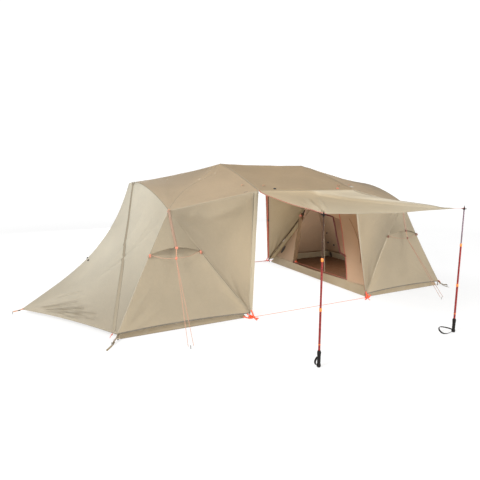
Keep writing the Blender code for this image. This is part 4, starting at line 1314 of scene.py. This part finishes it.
def rolled_inner_door(pod, px):
    """The inner door rolled into an upright column and tied at its far edge, with two loops at its foot."""
    mesh = Mesh((px, 1.0, 1.0))
    s = np.linspace(0.0, 1.0, 65)
    path = mix(np.array([0.862, 0.44, 0.135]), np.array([0.962, 0.44, 0.94]), s)
    path[:, 1] += 0.006 * np.sin(7.0 * s)
    tie = np.exp(-((s - 0.93) / 0.03) ** 2)
    round_end = np.minimum(1.0, 0.35 + 8.0 * np.minimum(s, 1.0 - s))
    scale = (1.0 + 0.07 * np.sin(16.0 * s + 1.0) - 0.25 * tie) * round_end
    angle = np.arange(32) * 2.0 * math.pi / 32
    lumpy = 0.030 * (1.0 + 0.08 * np.sin(3.0 * angle) + 0.05 * np.sin(7.0 * angle))
    mesh.sweep(path, (0.0, 1.0, 0.0), circle(lumpy, 32), "inner_roll", scale)
    mesh.tube(path[59:62], 0.0265, "lap_zip", 20, (0.0, 1.0, 0.0))
    for step, turn in (((0.0, -0.03, 0.006), 0.6), ((-0.012, -0.055, -0.004), -0.4)):
        along = np.array([math.cos(turn), math.sin(turn), 0.0])
        mesh.loop(path[0] + step, along, np.array([-0.5, 0.0, 0.85]), 0.022, 0.012, "webbing")
    mesh.build("rolled_inner_door_" + pod, "inner_cloth")


def inner_patches(pod, px):
    """Dark corner strap and toggles on the back wall, and the dark port at the far corner."""
    mesh = Mesh()
    for sy in (1.0, -1.0):
        mesh.turn = np.array([px, sy, 1.0])
        for a, h in ((0.90, 0.446), (0.917, 0.279), (0.783, 0.233)):
            mesh.pebble(BACK_WALL.at(a, h, -0.010), (0.020, 0.026, 0.030), np.eye(3), "dark_clip", 0.6)
        mesh.sewn(BACK_WALL, 0.908, np.linspace(0.004, 0.100, 9), 0.055, 0.003, "brown_webbing", -0.004)
    mesh.turn = np.array([px, 1.0, 1.0])
    axes = triad(PORCH_WALL.normal(0.90, 0.215), (0.0, 0.0, 1.0))
    mesh.pebble(PORCH_WALL.at(0.90, 0.215, 0.006), (0.012, 0.100, 0.150), axes, "dark_clip", 0.9)
    mesh.build("inner_patches_" + pod, "webbing")


class TENT_OT_vents(Operator):
    """Vent hoods, their mesh, toggles, cords and guy lines"""

    bl_idname = "tent.vents"
    bl_label = "Vents and guy lines"

    def execute(self, context):
        us, vs = np.linspace(0.0, 1.0, 49), np.linspace(0.0, 1.0, 33)
        for pod, px in PODS:
            for where, sy in SIDES:
                turn = (px, sy, 1.0)
                label = where + "_" + pod
                cloth_sheet("vent_hood_" + label, HOOD, us, vs, turn, "hood_cloth")
                vent_mesh(label, turn)
                guy_line(label, turn)
        return {"FINISHED"}


def vent_mesh(label, turn):
    """The dark mesh under the hood's lip, a low lens on the side panel."""
    u = np.linspace(0.03, 0.97, 41)[:, None]
    lip = VENT_BOTTOM - VENT_RISE * bump(u)
    top = lip - 0.022 * bump(u)
    bottom = lip + 0.012 * bump(u) + 0.001
    mesh = Mesh(turn)
    mesh.sheet(SIDE.at(u, top + (bottom - top) * np.linspace(0.0, 1.0, 9), 0.0012), "mesh", SIDE.inside)
    piece = mesh.build("vent_mesh_" + label, "pole_tube")
    thicken(piece, 0.0006)


def guy_line(label, turn):
    """Webbing from the hub over the hood, the lip's toggles and their cords, the clip and the taut line."""
    mesh = Mesh(turn)
    size = measures()
    v = np.linspace(0.0, 1.0, 25)
    start = HUB + (0.0, -0.006, -0.002)
    strap = np.concatenate([start[None], HOOD.at(0.5, v, 0.001)])
    normals = HOOD.normal(0.5, v)
    normals = np.concatenate([normals[:1], normals])
    mesh.ribbon(strap, normals, size.webbing * 1.45, 0.0012, "hub_webbing")
    out = np.array([0.0, -0.6, 0.8])
    mesh.loop(start + (0.0, -0.004, 0.002), np.array([1.0, 0.0, 0.0]), out, 0.012, 0.012, "faded_webbing")
    near, lip, far = HOOD.at((0.0, 0.5, 1.0), 1.0, 0.002)
    toggle = "faded_clip" if mesh.turn[0] < 0.0 else "brown_clip"
    for end in (near, far):
        path = line_points([end, mix(end, GUY_CLIP, 0.5) + (0.0, -0.004, -0.016), GUY_CLIP], 17)
        mesh.tube(path, 0.0018, "faded_cord", 8)
        mesh.pebble(end + (0.0, -0.007, -0.008), (0.034, 0.016, 0.012), UPRIGHT, toggle)
        outwards = 1.0 if end[0] > 1.5 else -1.0
        place = end + (0.008 * outwards, -0.006, -0.016)
        down, out = np.array([0.3, 0.0, -0.95]), np.array([outwards, 0.0, 0.3])
        mesh.loop(place, down, out, 0.014, 0.009, "faded_webbing")
    hang = line_points([lip, mix(lip, GUY_CLIP, 0.5), GUY_CLIP], 9)
    mesh.ribbon(hang, (0.0, -1.0, 0.0), size.webbing * 0.5, 0.0012, "faded_webbing")
    mesh.pebble(GUY_CLIP, (0.030, 0.020, 0.011), UPRIGHT, toggle)
    mesh.pebble(lip + (0.0, -0.006, -0.002), (0.024, 0.030, 0.010), UPRIGHT, toggle)
    start = GUY_CLIP + (0.0, 0.0, -0.014)
    for x in (-0.026, 0.022):
        end = GUY_STAKE + (x, 0.0, STAKE_HEIGHT - 0.006)
        mesh.tube(line_points([start, mix(start, end, 0.5), end], 25), size.cord * 0.85, "faded_cord", 8)
    stake(mesh, GUY_STAKE)
    mesh.build("guy_line_" + label + "_dressed", "webbing", "guy_line_" + label)


def stake(mesh, place):
    """The part of a stake above the ground: a round shaft with a groove under its head."""
    profile = (
        (0.0, 0.0), (0.0042, 0.0), (0.0042, 0.017), (0.0030, 0.018), (0.0030, 0.022), (0.0048, 0.023),
        (0.0048, 0.029), (0.0036, 0.030), (0.0, 0.030),
    )
    mesh.lathe(place, profile, "stake", 12)


class TENT_OT_frame(Operator):
    """Tent poles with their joints, and the hubs"""

    bl_idname = "tent.frame_poles"
    bl_label = "Frame"

    def execute(self, context):
        for pod, px in PODS:
            turn = (px, 1.0, 1.0)
            jointed_pole("end_arch_" + pod, end_arch, (-0.004, 0.0, -0.012), 4, turn)
            jointed_pole("porch_arch_" + pod, crossing, (0.0, 0.0, -0.018), 6, turn)
            for where, sy in SIDES:
                hub_legs(where + "_" + pod, (px, sy, 1.0))
        return {"FINISHED"}


def jointed_pole(node, curve, shift, joints, turn):
    """A pole from hub to hub under the cloth, with metal ferrules where its sections meet."""
    mesh = Mesh(turn)
    radius = measures().pole / 2.0
    t = np.linspace(-1.0, 1.0, 65)
    path = curve(np.abs(t) * 0.985)
    path[:, 1] *= -np.sign(t)
    path += shift
    mesh.tube(path, radius, "pole")
    for k in range(1, joints):
        middle = int(round(k * (len(path) - 1) / joints))
        mesh.tube(path[middle - 1:middle + 2], radius * 1.12, "ferrule")
    mesh.build("pole_" + node, "pole_tube", node)


def hub_legs(label, turn):
    """A hub and two legs in sections, each with a tip in the corner's grommet."""
    mesh = Mesh(turn)
    radius = measures().pole / 2.0
    centre = HUB + (-0.004, 0.012, -0.018)
    t = np.linspace(0.0, 1.0, 49)
    for curve, foot_x, step in (
        (outer_leg, CORNER_OUT[0] - 0.004, -0.006), (inner_leg, CORNER_IN[0] + 0.012, 0.0),
    ):
        line = curve(t) + (step, 0.012, 0.0)
        line[:, 1] += 0.012 * bump(t)
        line += (centre - line[0]) * ((1.0 - t) ** 3)[:, None]
        foot = np.array([foot_x, -HALF_WIDTH + 0.012, 0.002])
        mesh.tube(line[:34], radius, "pole")
        mesh.tube(np.concatenate([line[33:], foot[None]]), radius, "pole")
        for k in (16, 33):
            mesh.tube(line[k - 1:k + 2], radius * 1.14, "ferrule")
        tip = ((0.0, -0.002), (0.006, -0.002), (0.007, 0.010), (0.005, 0.014), (0.0, 0.014))
        mesh.lathe(foot, tip, "dark_clip")
    mesh.pebble(centre, (0.030, 0.022, 0.026), np.eye(3), "clip", 0.6)
    end = INNER_HUB + (0.0, -0.002, 0.002)
    path = line_points([centre, mix(centre, end, 0.5) + (0.004, 0.0, -0.002), end], 9)
    mesh.tube(path, 0.0022, "cord", 8)
    mesh.build("hub_and_legs_" + label, "pole_tube", "legs_" + label)


class TENT_OT_ground_fittings(Operator):
    """Corner straps with buckles, ground cords, tail straps and stakes"""

    bl_idname = "tent.ground_fittings"
    bl_label = "Ground fittings"

    def execute(self, context):
        for pod, px in PODS:
            for where, sy in SIDES:
                corner_strap(where + "_" + pod, (px, sy, 1.0))
            tail_strap(pod, (px, 1.0, 1.0))
        for where, sy in SIDES:
            ground_cord(where, sy)
        return {"FINISHED"}


def corner_strap(label, turn):
    """Khaki webbing from the outer corner through a buckle to its stake, its free end and a red pull tab."""
    mesh = Mesh(turn)
    left = turn[0] < 0.0
    webbing = measures().webbing
    places = CORNER_OUT + (
        (-0.012, 0.006, 0.012), (0.004, -0.006, -0.008), (0.020, -0.024, -0.026),
        (0.040, -0.056, -0.036), (0.058, -0.086, -0.032),
    )
    facing = (0.6, 0.3, 0.75)
    mesh.ribbon(line_points(places, 25), facing, webbing * 1.5, 0.0016, "khaki_webbing")
    axes = triad(unit(places[3] - places[2]), facing)
    buckle = "khaki_clip" if left else "pale_clip"
    mesh.pebble(mix(places[2], places[3], 0.4), (0.036, 0.030, 0.012), axes, buckle)
    free_end = (
        (0.034, -0.048, -0.04), (0.056, -0.088, -0.05), (0.084, -0.134, -0.052), (0.113, -0.176, -0.053),
    ) if left else (
        (0.024, -0.04, -0.04), (0.03, -0.08, -0.05), (0.034, -0.11, -0.053), (0.03, -0.14, -0.053),
    )
    # The free end lies the same way on both sides of the tent, so its facing isn't mirrored.
    facing = mesh.turn * (0.0, -0.6, 0.8)
    mesh.ribbon(line_points(CORNER_OUT + free_end, 17), facing, webbing * 0.9, 0.0014, "khaki_webbing")
    top = "khaki_webbing" if left else "faded_webbing"
    for start, kind in (((-0.030, 0.004, 0.004), top), ((-0.020, 0.0, -0.040), "pale_cord")):
        start = CORNER_OUT + start
        line = line_points([start, mix(start, places[2], 0.5), places[2]], 9)
        mesh.ribbon(line, (0.2, -0.8, 0.5), webbing * 0.5, 0.0012, kind)
    tab = line_points(CORNER_OUT + ((0.034, 0.04, 0.0), (0.052, 0.03, -0.01), (0.062, 0.024, -0.03)), 7)
    mesh.ribbon(tab, (0.9, 0.3, 0.2), webbing * 1.3, 0.0015, "webbing")
    stake(mesh, CORNER_OUT + (0.060, -0.090, -CORNER_OUT[2]))
    mesh.build("corner_strap_" + label + "_dressed", "webbing", "corner_strap_" + label)


def tail_strap(pod, turn):
    """Webbing from under the tail's tip to its stake."""
    mesh = Mesh(turn)
    webbing = measures().webbing
    low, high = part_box("tail_stake_right")
    points = np.array([
        (low.x + 0.004, 0.0, high.z - 0.010), (low.x + 0.030, 0.0, high.z - 0.016),
        (high.x - 0.070, 0.0, 0.034), (high.x - 0.012, 0.0, 0.028),
    ])
    mesh.ribbon(line_points(points, 17), (0.0, -0.5, 0.85), webbing, 0.0016, "faded_webbing")
    tab = line_points([(2.962, -0.030, 0.048), (2.972, -0.018, 0.040), (2.978, -0.004, 0.036)], 7)
    mesh.ribbon(tab, (0.0, 0.0, 1.0), webbing * 0.5, 0.0015, "webbing")
    mesh.pebble(points[2], (0.026, 0.020, 0.008), np.eye(3), "dark_clip")
    stake(mesh, (high.x - 0.007, 0.0, 0.0))
    mesh.build("tail_strap_" + pod + "_dressed", "webbing", "tail_stake_" + pod)


def ground_cord(where, sy):
    """Orange webbing crossed at both inner corners, each with a buckle, and a taut line between them."""
    mesh = Mesh()
    size = measures()
    facing = (0.1, -0.6, 0.75)
    strands = (
        ((0.085, 0.000, -0.020), (0.050, -0.016, -0.032), (0.018, -0.030, -0.039), (-0.012, -0.034, -0.031),
         (-0.040, -0.030, -0.031)),
        ((0.040, -0.002, 0.004), (0.022, -0.012, -0.012), (0.000, -0.022, -0.026), (-0.030, -0.044, -0.039),
         (-0.064, -0.062, -0.043)),
    )
    drop = (
        (-0.004, -0.006, 0.038), (-0.012, -0.024, 0.010), (-0.018, -0.044, -0.026), (-0.026, -0.100, -0.043),
    )
    axes = triad(unit(np.array([-0.75, -0.35, -0.5])), facing)
    for px in (1.0, -1.0):
        mesh.turn = np.array([px, sy, 1.0])
        for strand in strands:
            mesh.ribbon(line_points(CORNER_IN + strand, 21), facing, size.webbing * 0.8, 0.0018, "webbing")
        mesh.ribbon(line_points(CORNER_IN + drop, 21), (0.1, -0.8, 0.5), size.webbing, 0.0018, "webbing")
        mesh.pebble(CORNER_IN + (0.004, -0.022, -0.026), (0.046, 0.032, 0.013), axes, "clip")
    mesh.turn = np.array([1.0, sy, 1.0])
    start = CORNER_IN + (-0.036, -0.028, -0.031)
    end = start * (-1.0, 1.0, 1.0)
    path = line_points([start, mix(start, end, 0.33), mix(start, end, 0.66), end], 33)
    radius, kind = (0.006, "zip_tape") if where == "far" else (size.cord * 1.1, "red_cord")
    mesh.tube(path, radius, kind, 8)
    mesh.build("ground_cord_" + where + "_dressed", "webbing", "ground_cord_" + where)


class TENT_OT_trekking_poles(Operator):
    """The two trekking poles that hold the awning"""

    bl_idname = "tent.trekking_poles"
    bl_label = "Trekking poles"

    def execute(self, context):
        trekking_pole("trekking_pole_left", AWNING_LEFT_X, "trekking_dark", math.radians(72.0), 0.5)
        trekking_pole("trekking_pole_right", AWNING_RIGHT_X, "trekking_grey", math.radians(168.0), 1.2)
        return {"FINISHED"}


def trekking_pole(node, x, upper, strap_turn, strap_size):
    """A pole stood upside down: grip on the ground, two locks, basket below the tip."""
    mesh = Mesh()
    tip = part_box(node)[1].z
    place = np.array([x, AWNING_EDGE_Y, 0.0])
    basket = tip - 0.029
    locks = (0.458, 0.838)
    grip = (
        (0.0, 0.0), (0.011, 0.0), (0.0155, 0.006), (0.0165, 0.016), (0.0150, 0.026), (0.0125, 0.036),
        (0.0138, 0.050), (0.0128, 0.060), (0.0140, 0.072), (0.0130, 0.084), (0.0142, 0.096),
        (0.0150, 0.110), (0.0158, 0.122), (0.0120, 0.130), (0.0098, 0.136), (0.0, 0.136),
    )
    mesh.lathe(place, grip, "grip")
    for bottom, top, radius, kind in (
        (0.134, locks[0], 0.0088, "trekking_red"), (locks[0], locks[1], 0.0078, "trekking_red"),
        (locks[1], basket - 0.010, 0.0060, upper), (0.18, 0.186, 0.0094, "trekking_lock"),
    ):
        mesh.lathe(place, ((0.0, bottom), (radius, bottom), (radius, top), (0.0, top)), kind, 24)
    for height, radius in zip(locks, (0.0105, 0.0095)):
        lock = (
            (0.0, -0.013), (radius - 0.001, -0.013), (radius, -0.010), (radius, 0.009),
            (radius - 0.002, 0.013), (0.0, 0.013),
        )
        mesh.lathe(place + (0.0, 0.0, height), lock, "trekking_lock", 24)
    disc = (
        (0.0, -0.012), (0.007, -0.012), (0.008, -0.005), (0.021, -0.003), (0.0225, 0.0), (0.021, 0.0015),
        (0.008, 0.0), (0.006, 0.010), (0.0, 0.010),
    )
    mesh.lathe(place + (0.0, 0.0, basket), disc, "grip", 28)
    spike = (
        (0.0, basket), (0.0052, basket), (0.0040, tip - 0.010), (0.0018, tip - 0.008), (0.0014, tip),
        (0.0, tip),
    )
    mesh.lathe(place, spike, "grip", 16)
    wrist_strap(mesh, place, strap_turn, strap_size)
    mesh.build(node + "_dressed", "trekking_pole", node)


def wrist_strap(mesh, place, turn, size):
    """A loop of black webbing from the grip's top end, lying out along turn."""
    c, s = math.cos(turn), math.sin(turn)
    shape = np.array([
        (0.012, 0.004, 0.014), (0.045, 0.012, 0.006), (0.085, 0.020, 0.004), (0.118, 0.016, 0.014),
        (0.128, -0.004, 0.034), (0.112, -0.020, 0.052), (0.070, -0.018, 0.046), (0.030, -0.008, 0.034),
        (0.012, -0.002, 0.026),
    ])
    path = line_points(shape * (size, size, 1.0), 65)
    path = np.stack([path[:, 0] * c - path[:, 1] * s, path[:, 0] * s + path[:, 1] * c, path[:, 2]], axis=1)
    mesh.ribbon(path + place, path - path.mean(axis=0), 0.018, 0.0030, "grip")


class TENT_OT_trims(Operator):
    """Seams, hems, zips, flaps and straps on the fly"""

    bl_idname = "tent.trims"
    bl_label = "Seams and zips"

    def execute(self, context):
        turns = [np.array([px, sy, 1.0]) for _, px in PODS for _, sy in SIDES]
        for (pod, _), pair in zip(PODS, (turns[:2], turns[2:])):
            for add, label, slot in (
                (pod_seams, "seams_", "fly_cloth"),
                (pod_hems, "hems_", "fly_cloth"),
                (pod_zips, "zips_", "webbing"),
            ):
                mesh = Mesh()
                for turn in pair:
                    mesh.turn = turn
                    add(mesh)
                mesh.build(label + pod, slot)
        bits = Mesh()
        for turn in turns:
            bits.turn = turn
            roof_bits(bits)
        bits.build("roof_loops", "webbing")
        awning_trim()
        return {"FINISHED"}


def pod_seams(mesh):
    """Seam tapes along the end arch, legs, eave and hoop. On the inner leg the tape is painted dark on the
    left pod, as shade in the crease, and pale on the right pod, as a painted highlight.
    """
    t = np.linspace(0.0, 1.0, 61)
    seam = measures().seam
    diagonal = 0.02 + 0.82 * t
    slope = np.interp(diagonal, (0.0, 0.158, 0.308, 0.575, 0.85), (-0.99, -0.83, -0.67, -0.46, -0.30))
    for cloth, u, v, kind, share in (
        (SIDE, 0.0, t, "seam_tape", 1.0),
        # The inner leg: painted shade on the left pod, a painted highlight on the right.
        (SIDE, 1.0, 0.34 + 0.50 * t, "dark_seam" if mesh.turn[0] < 0.0 else "pale_seam", 1.0),
        (ROOF, 0.0, -t, "dark_seam", 0.8),
        (ROOF, 1.0, -t, "hoop_tape", 1.2),
        (ROOF, diagonal, slope, "hoop_tape", 0.45),
    ):
        mesh.sewn(cloth, u, v, seam * share, TAPE_THICKNESS, kind)
    eave = SIDE.at(1.0 + t, 0.004, TAPE_LIFT)
    mesh.ribbon(eave, SIDE.normal(1.0 + t, 0.02), seam * 0.7, TAPE_THICKNESS, "seam_tape")
    # Near-black tape on the inner face along the inner leg: it stands partly for the pole and its sleeve, and
    # partly paints their shadow.
    mesh.sewn(SIDE, 1.0, t, 0.014, TAPE_THICKNESS, "brown_webbing", -0.006)


def roof_bits(mesh):
    """Small clips, loops and a sewn triangle on the roof, and the toggle on the tail."""
    left = mesh.turn[0] < 0.0
    spots = (
        (PORCH, 0.667, -0.967, (0.034, 0.016, 0.014), "dark_clip" if left else "faded_clip"),
        (ROOF, 0.575, -0.442, (0.024, 0.014, 0.006), "patch"),
        (ROOF, 0.804, -0.317, (0.024, 0.014, 0.006), "patch"),
        (ROOF, 0.30, -0.19, (0.016, 0.012, 0.006), "patch"),
        (ROOF, 0.86, -0.975, (0.046, 0.012, 0.005), "khaki_clip"),
        (TAIL, -0.06, 0.55, (0.024, 0.014, 0.014), "dark_clip"),
    )
    if not left:
        spots += ((ROOF, 0.883, -0.858, (0.050, 0.040, 0.005), "pale_clip"),)
    for cloth, u, v, size, kind in spots:
        axes = np.roll(triad(cloth.normal(u, v), (0.0, 1.0, 0.2)), -1, axis=0)
        mesh.pebble(cloth.at(u, v, size[2] * 0.4), size, axes, kind, 0.6)
    for cloth, u, v in ((PORCH, 0.80, -0.883), (ROOF, 0.90, -0.83)):
        along = np.array([1.0, 0.0, 0.0])
        mesh.loop(cloth.at(u, v), along, cloth.normal(u, v), 0.016, 0.012, "faded_webbing")


def pod_hems(mesh):
    """Hem tapes round the foot of the side panel and of the tail. The side panel's near-black tape paints the
    shadow in the gap under its hem.
    """
    hem = measures().hem
    u = np.linspace(0.0, 2.0, 81)
    mesh.ribbon(SIDE.at(u, 0.994, TAPE_LIFT), SIDE.normal(u, 1.0), hem * 0.75, 0.0012, "hem_tape")
    q = np.linspace(1.0, 1.0 - TAIL_END, 81)
    mesh.ribbon(TAIL.at(-0.994, q, TAPE_LIFT), TAIL.normal(-1.0, q), hem * 0.5, 0.0012, "hoop_tape")


def pod_zips(mesh):
    """The zip and its flap along the jamb, and the flap of the tail's zip from the peak to the foot."""
    size = measures()
    v = np.linspace(0.01, 0.985, 61)
    normals = SIDE.normal(1.975, v)
    for u, lift, width, thickness, kind in (
        (1.975, 0.0012, 0.042, 0.0014, "zip_flap"),
        (1.942, 0.0008, size.seam * 0.7, 0.0012, "dark_seam"),
        (1.975, -0.003, 0.026, 0.0014, "lap_zip"),
        (1.94, -0.003, size.zip_tape, 0.0014, "dark_zip"),
    ):
        mesh.ribbon(SIDE.at(u, v, lift), normals * math.copysign(1.0, lift), width, thickness, kind)
    mesh.pebble(SIDE.at(1.95, 0.43, -0.008), (0.022, 0.012, 0.036), np.eye(3), "dark_clip", 0.6)
    share = np.linspace(0.004, 0.992, 81)
    path, out = flap_line(share)
    width = 0.55 + 0.45 * share
    mesh.ribbon(path, out, size.flap, 0.0022, "tail_flap", width)
    sideways = unit(np.cross(np.gradient(path, axis=0), out))
    sideways *= np.sign(sideways[:, :1]) * size.flap * width[:, None]
    for way, seam, thickness in ((0.46, 1.2, 0.0016), (-0.40, 0.6, 0.0012)):
        mesh.ribbon(path + sideways * way + out * 0.0012, out, size.seam * seam, thickness, "dark_seam")


def flap_line(share):
    """The line over the tail from the peak to the foot: where a leaning plane cuts the tail, by bisection."""
    low = 0.5 + 0.0 * share
    high = 1.0 + 0.0 * share
    for _ in range(24):
        q = (low + high) / 2.0
        point = tail_base(-share, q)
        past = point[:, 0] > point @ FLAP_PLANE[:3] + FLAP_PLANE[3]
        low = np.where(past, q, low)
        high = np.where(past, high, q)
    return TAIL.at(-share, q, 0.0008), TAIL.normal(-share, q)


def awning_trim():
    """Red zips along the awning's sides, its front hem, corner tabs and the cord to the right pole."""
    mesh = Mesh()
    size = measures()
    t = np.linspace(0.0, 1.0, 61)
    for u, kind in ((0.006, "zip_tape"), (0.994, "seam_tape")):
        mesh.sewn(AWNING, u, t, size.zip_tape * 0.8, 0.0016, kind, 0.0006)
    u = np.linspace(0.0, 1.0, 81)
    mesh.sewn(AWNING, u, 0.995, size.hem * 0.6, 0.0012, "seam_tape")
    mesh.ribbon(AWNING.at(u, 0.004, 0.0006), AWNING.normal(u, 0.01), size.seam, 0.0012, "seam_tape")
    corner = AWNING.at(1.0, 1.0)
    pole = np.array([AWNING_RIGHT_X, AWNING_EDGE_Y, AWNING_CORNER_Z])
    path = [corner + (-0.02, 0.01, 0.001), mix(corner, pole, 0.5), pole + (-0.004, 0.0, 0.002)]
    mesh.ribbon(line_points(path, 17), (0.0, 0.0, 1.0), size.webbing * 0.5, 0.0014, "webbing")
    corner = AWNING.at(0.0, 1.0)
    pole = np.array([AWNING_LEFT_X, AWNING_EDGE_Y, AWNING_CORNER_Z])
    path = [corner + (0.04, 0.05, 0.0), corner + (0.01, 0.012, 0.001), pole + (0.006, 0.0, 0.001)]
    mesh.ribbon(line_points(path, 9), (0.0, 0.0, 1.0), size.webbing, 0.0014, "webbing")
    mesh.build("awning_zips", "webbing")


class TENT_OT_stage(Operator):
    """Pale floor, soft lights and the photo's camera"""

    bl_idname = "tent.stage"
    bl_label = "Stage"

    def execute(self, context):
        scene = context.scene
        settings = scene.tent_stage
        stage_floor()
        scene.world = surroundings(settings.sky)
        area_light("key", settings.key, (-6.0, -3.0, 4.2), (-0.5, 0.0, 0.6), 1.6)
        area_light("fill", settings.fill, (3.4, -8.4, 1.9), (0.6, 0.0, 0.6), 5.0)
        area_light("back", settings.back, (0.5, 8.0, 1.8), (0.0, 0.0, 0.7), 5.0)
        for place, share in (((-1.3, 0.35, 0.75), 1.0), ((1.3, 0.35, 0.75), 1.3), ((0.0, 0.5, 0.9), 1.5)):
            lamp(settings.inside * share, place)
        data = bpy.data.cameras.new("photo_camera")
        data.sensor_width = 36.0
        data.lens = FOCAL_PIXELS / FRAME_PIXELS * data.sensor_width
        scene.camera = placed("photo_camera", data, CAMERA_PLACE + MID)
        scene.camera.rotation_euler = (math.pi / 2.0 - CAMERA_PITCH, 0.0, -CAMERA_YAW)
        scene.view_settings.view_transform = "Standard"
        return {"FINISHED"}


def surroundings(strength):
    """Even white light from all round, and pure white where it is seen directly."""
    world = bpy.data.worlds.new("surroundings")
    world.use_nodes = True
    t = Tree(world.node_tree)
    seen = t.node("LightPath").outputs["Is Camera Ray"]
    inputs = {"Color": (1.0, 1.0, 1.0, 1.0), "Strength": t.ramp(seen, 0.0, 1.0, strength, 1.1)}
    t.fill(t.tree.nodes["Background"], inputs)
    return world


def area_light(name, power, place, target, size):
    data = bpy.data.lights.new(name, "AREA")
    data.shape = "DISK"
    data.size = size
    data.energy = power
    light = placed(name, data, place)
    aim = unit(np.array(target) - np.array(place))
    light.rotation_euler = (math.acos(-aim[2]), 0.0, math.atan2(aim[0], -aim[1]) + math.pi)
    light.visible_camera = False


def lamp(power, place):
    """A soft lamp that stands for the light that thin cloth lets in everywhere."""
    data = bpy.data.lights.new("inside", "POINT")
    data.shadow_soft_size = 0.3
    data.energy = power
    placed("inside", data, place).visible_camera = False


def stage_floor():
    """A wide pale floor just below the tent."""
    material, t, shader, _, place = start_material("stage_floor")
    reach = t.vector("LENGTH", place, output="Value")
    t.fill(shader, {
        "Base Color": t.blend(t.noise(place, 0.6, 2.0), (0.20, 0.20, 0.20, 1.0), (0.23, 0.23, 0.23, 1.0)),
        "Emission Color": (1.0, 1.0, 1.0, 1.0),
        "Emission Strength": t.ramp(reach, 5.0, 18.0, 0.72, 0.86),
        "Roughness": 0.9,
    })
    reach = np.linspace(-40.0, 40.0, 9)
    grid = np.stack(np.broadcast_arrays(reach[:, None], reach, -0.0015), axis=-1)
    mesh = bpy.data.meshes.new("stage_floor")
    mesh.from_pydata(grid.reshape(-1, 3).tolist(), [], grid_faces(grid).tolist())
    mesh.materials.append(material)
    placed("stage_floor", mesh)


STEPS = (
    TENT_OT_stage, TENT_OT_pod_fly, TENT_OT_porch_fly, TENT_OT_inner_tents, TENT_OT_inner_fittings,
    TENT_OT_vents, TENT_OT_frame, TENT_OT_ground_fittings, TENT_OT_trekking_poles, TENT_OT_trims,
)


class TENT_PT_sidebar(Panel):
    """The tent's sizes, colours and steps"""

    bl_idname = "TENT_PT_sidebar"
    bl_label = "Tent"
    bl_space_type = "VIEW_3D"
    bl_region_type = "UI"
    bl_category = "Tent"

    def draw(self, context):
        scene = context.scene
        for group in (scene.tent_sizes, scene.tent_colours, scene.tent_stage):
            box = self.layout.box()
            for name in group.__annotations__:
                box.prop(group, name)
        for step in STEPS:
            self.layout.operator(step.bl_idname)


CLASSES = (TentSizes, TentColours, StageSettings, *STEPS, TENT_PT_sidebar)


def register():
    for item in CLASSES:
        bpy.utils.register_class(item)
    bpy.types.Scene.tent_sizes = PointerProperty(type=TentSizes)
    bpy.types.Scene.tent_colours = PointerProperty(type=TentColours)
    bpy.types.Scene.tent_stage = PointerProperty(type=StageSettings)


def unregister():
    del bpy.types.Scene.tent_stage
    del bpy.types.Scene.tent_colours
    del bpy.types.Scene.tent_sizes
    for item in reversed(CLASSES):
        bpy.utils.unregister_class(item)


def main():
    register()
    bpy.ops.tent.stage()
    bpy.ops.tent.pod_fly()
    bpy.ops.tent.porch_fly()
    bpy.ops.tent.inner_tents()
    bpy.ops.tent.inner_fittings()
    bpy.ops.tent.vents()
    bpy.ops.tent.frame_poles()
    bpy.ops.tent.ground_fittings()
    bpy.ops.tent.trekking_poles()
    bpy.ops.tent.trims()


if __name__ == "__main__":
    main()
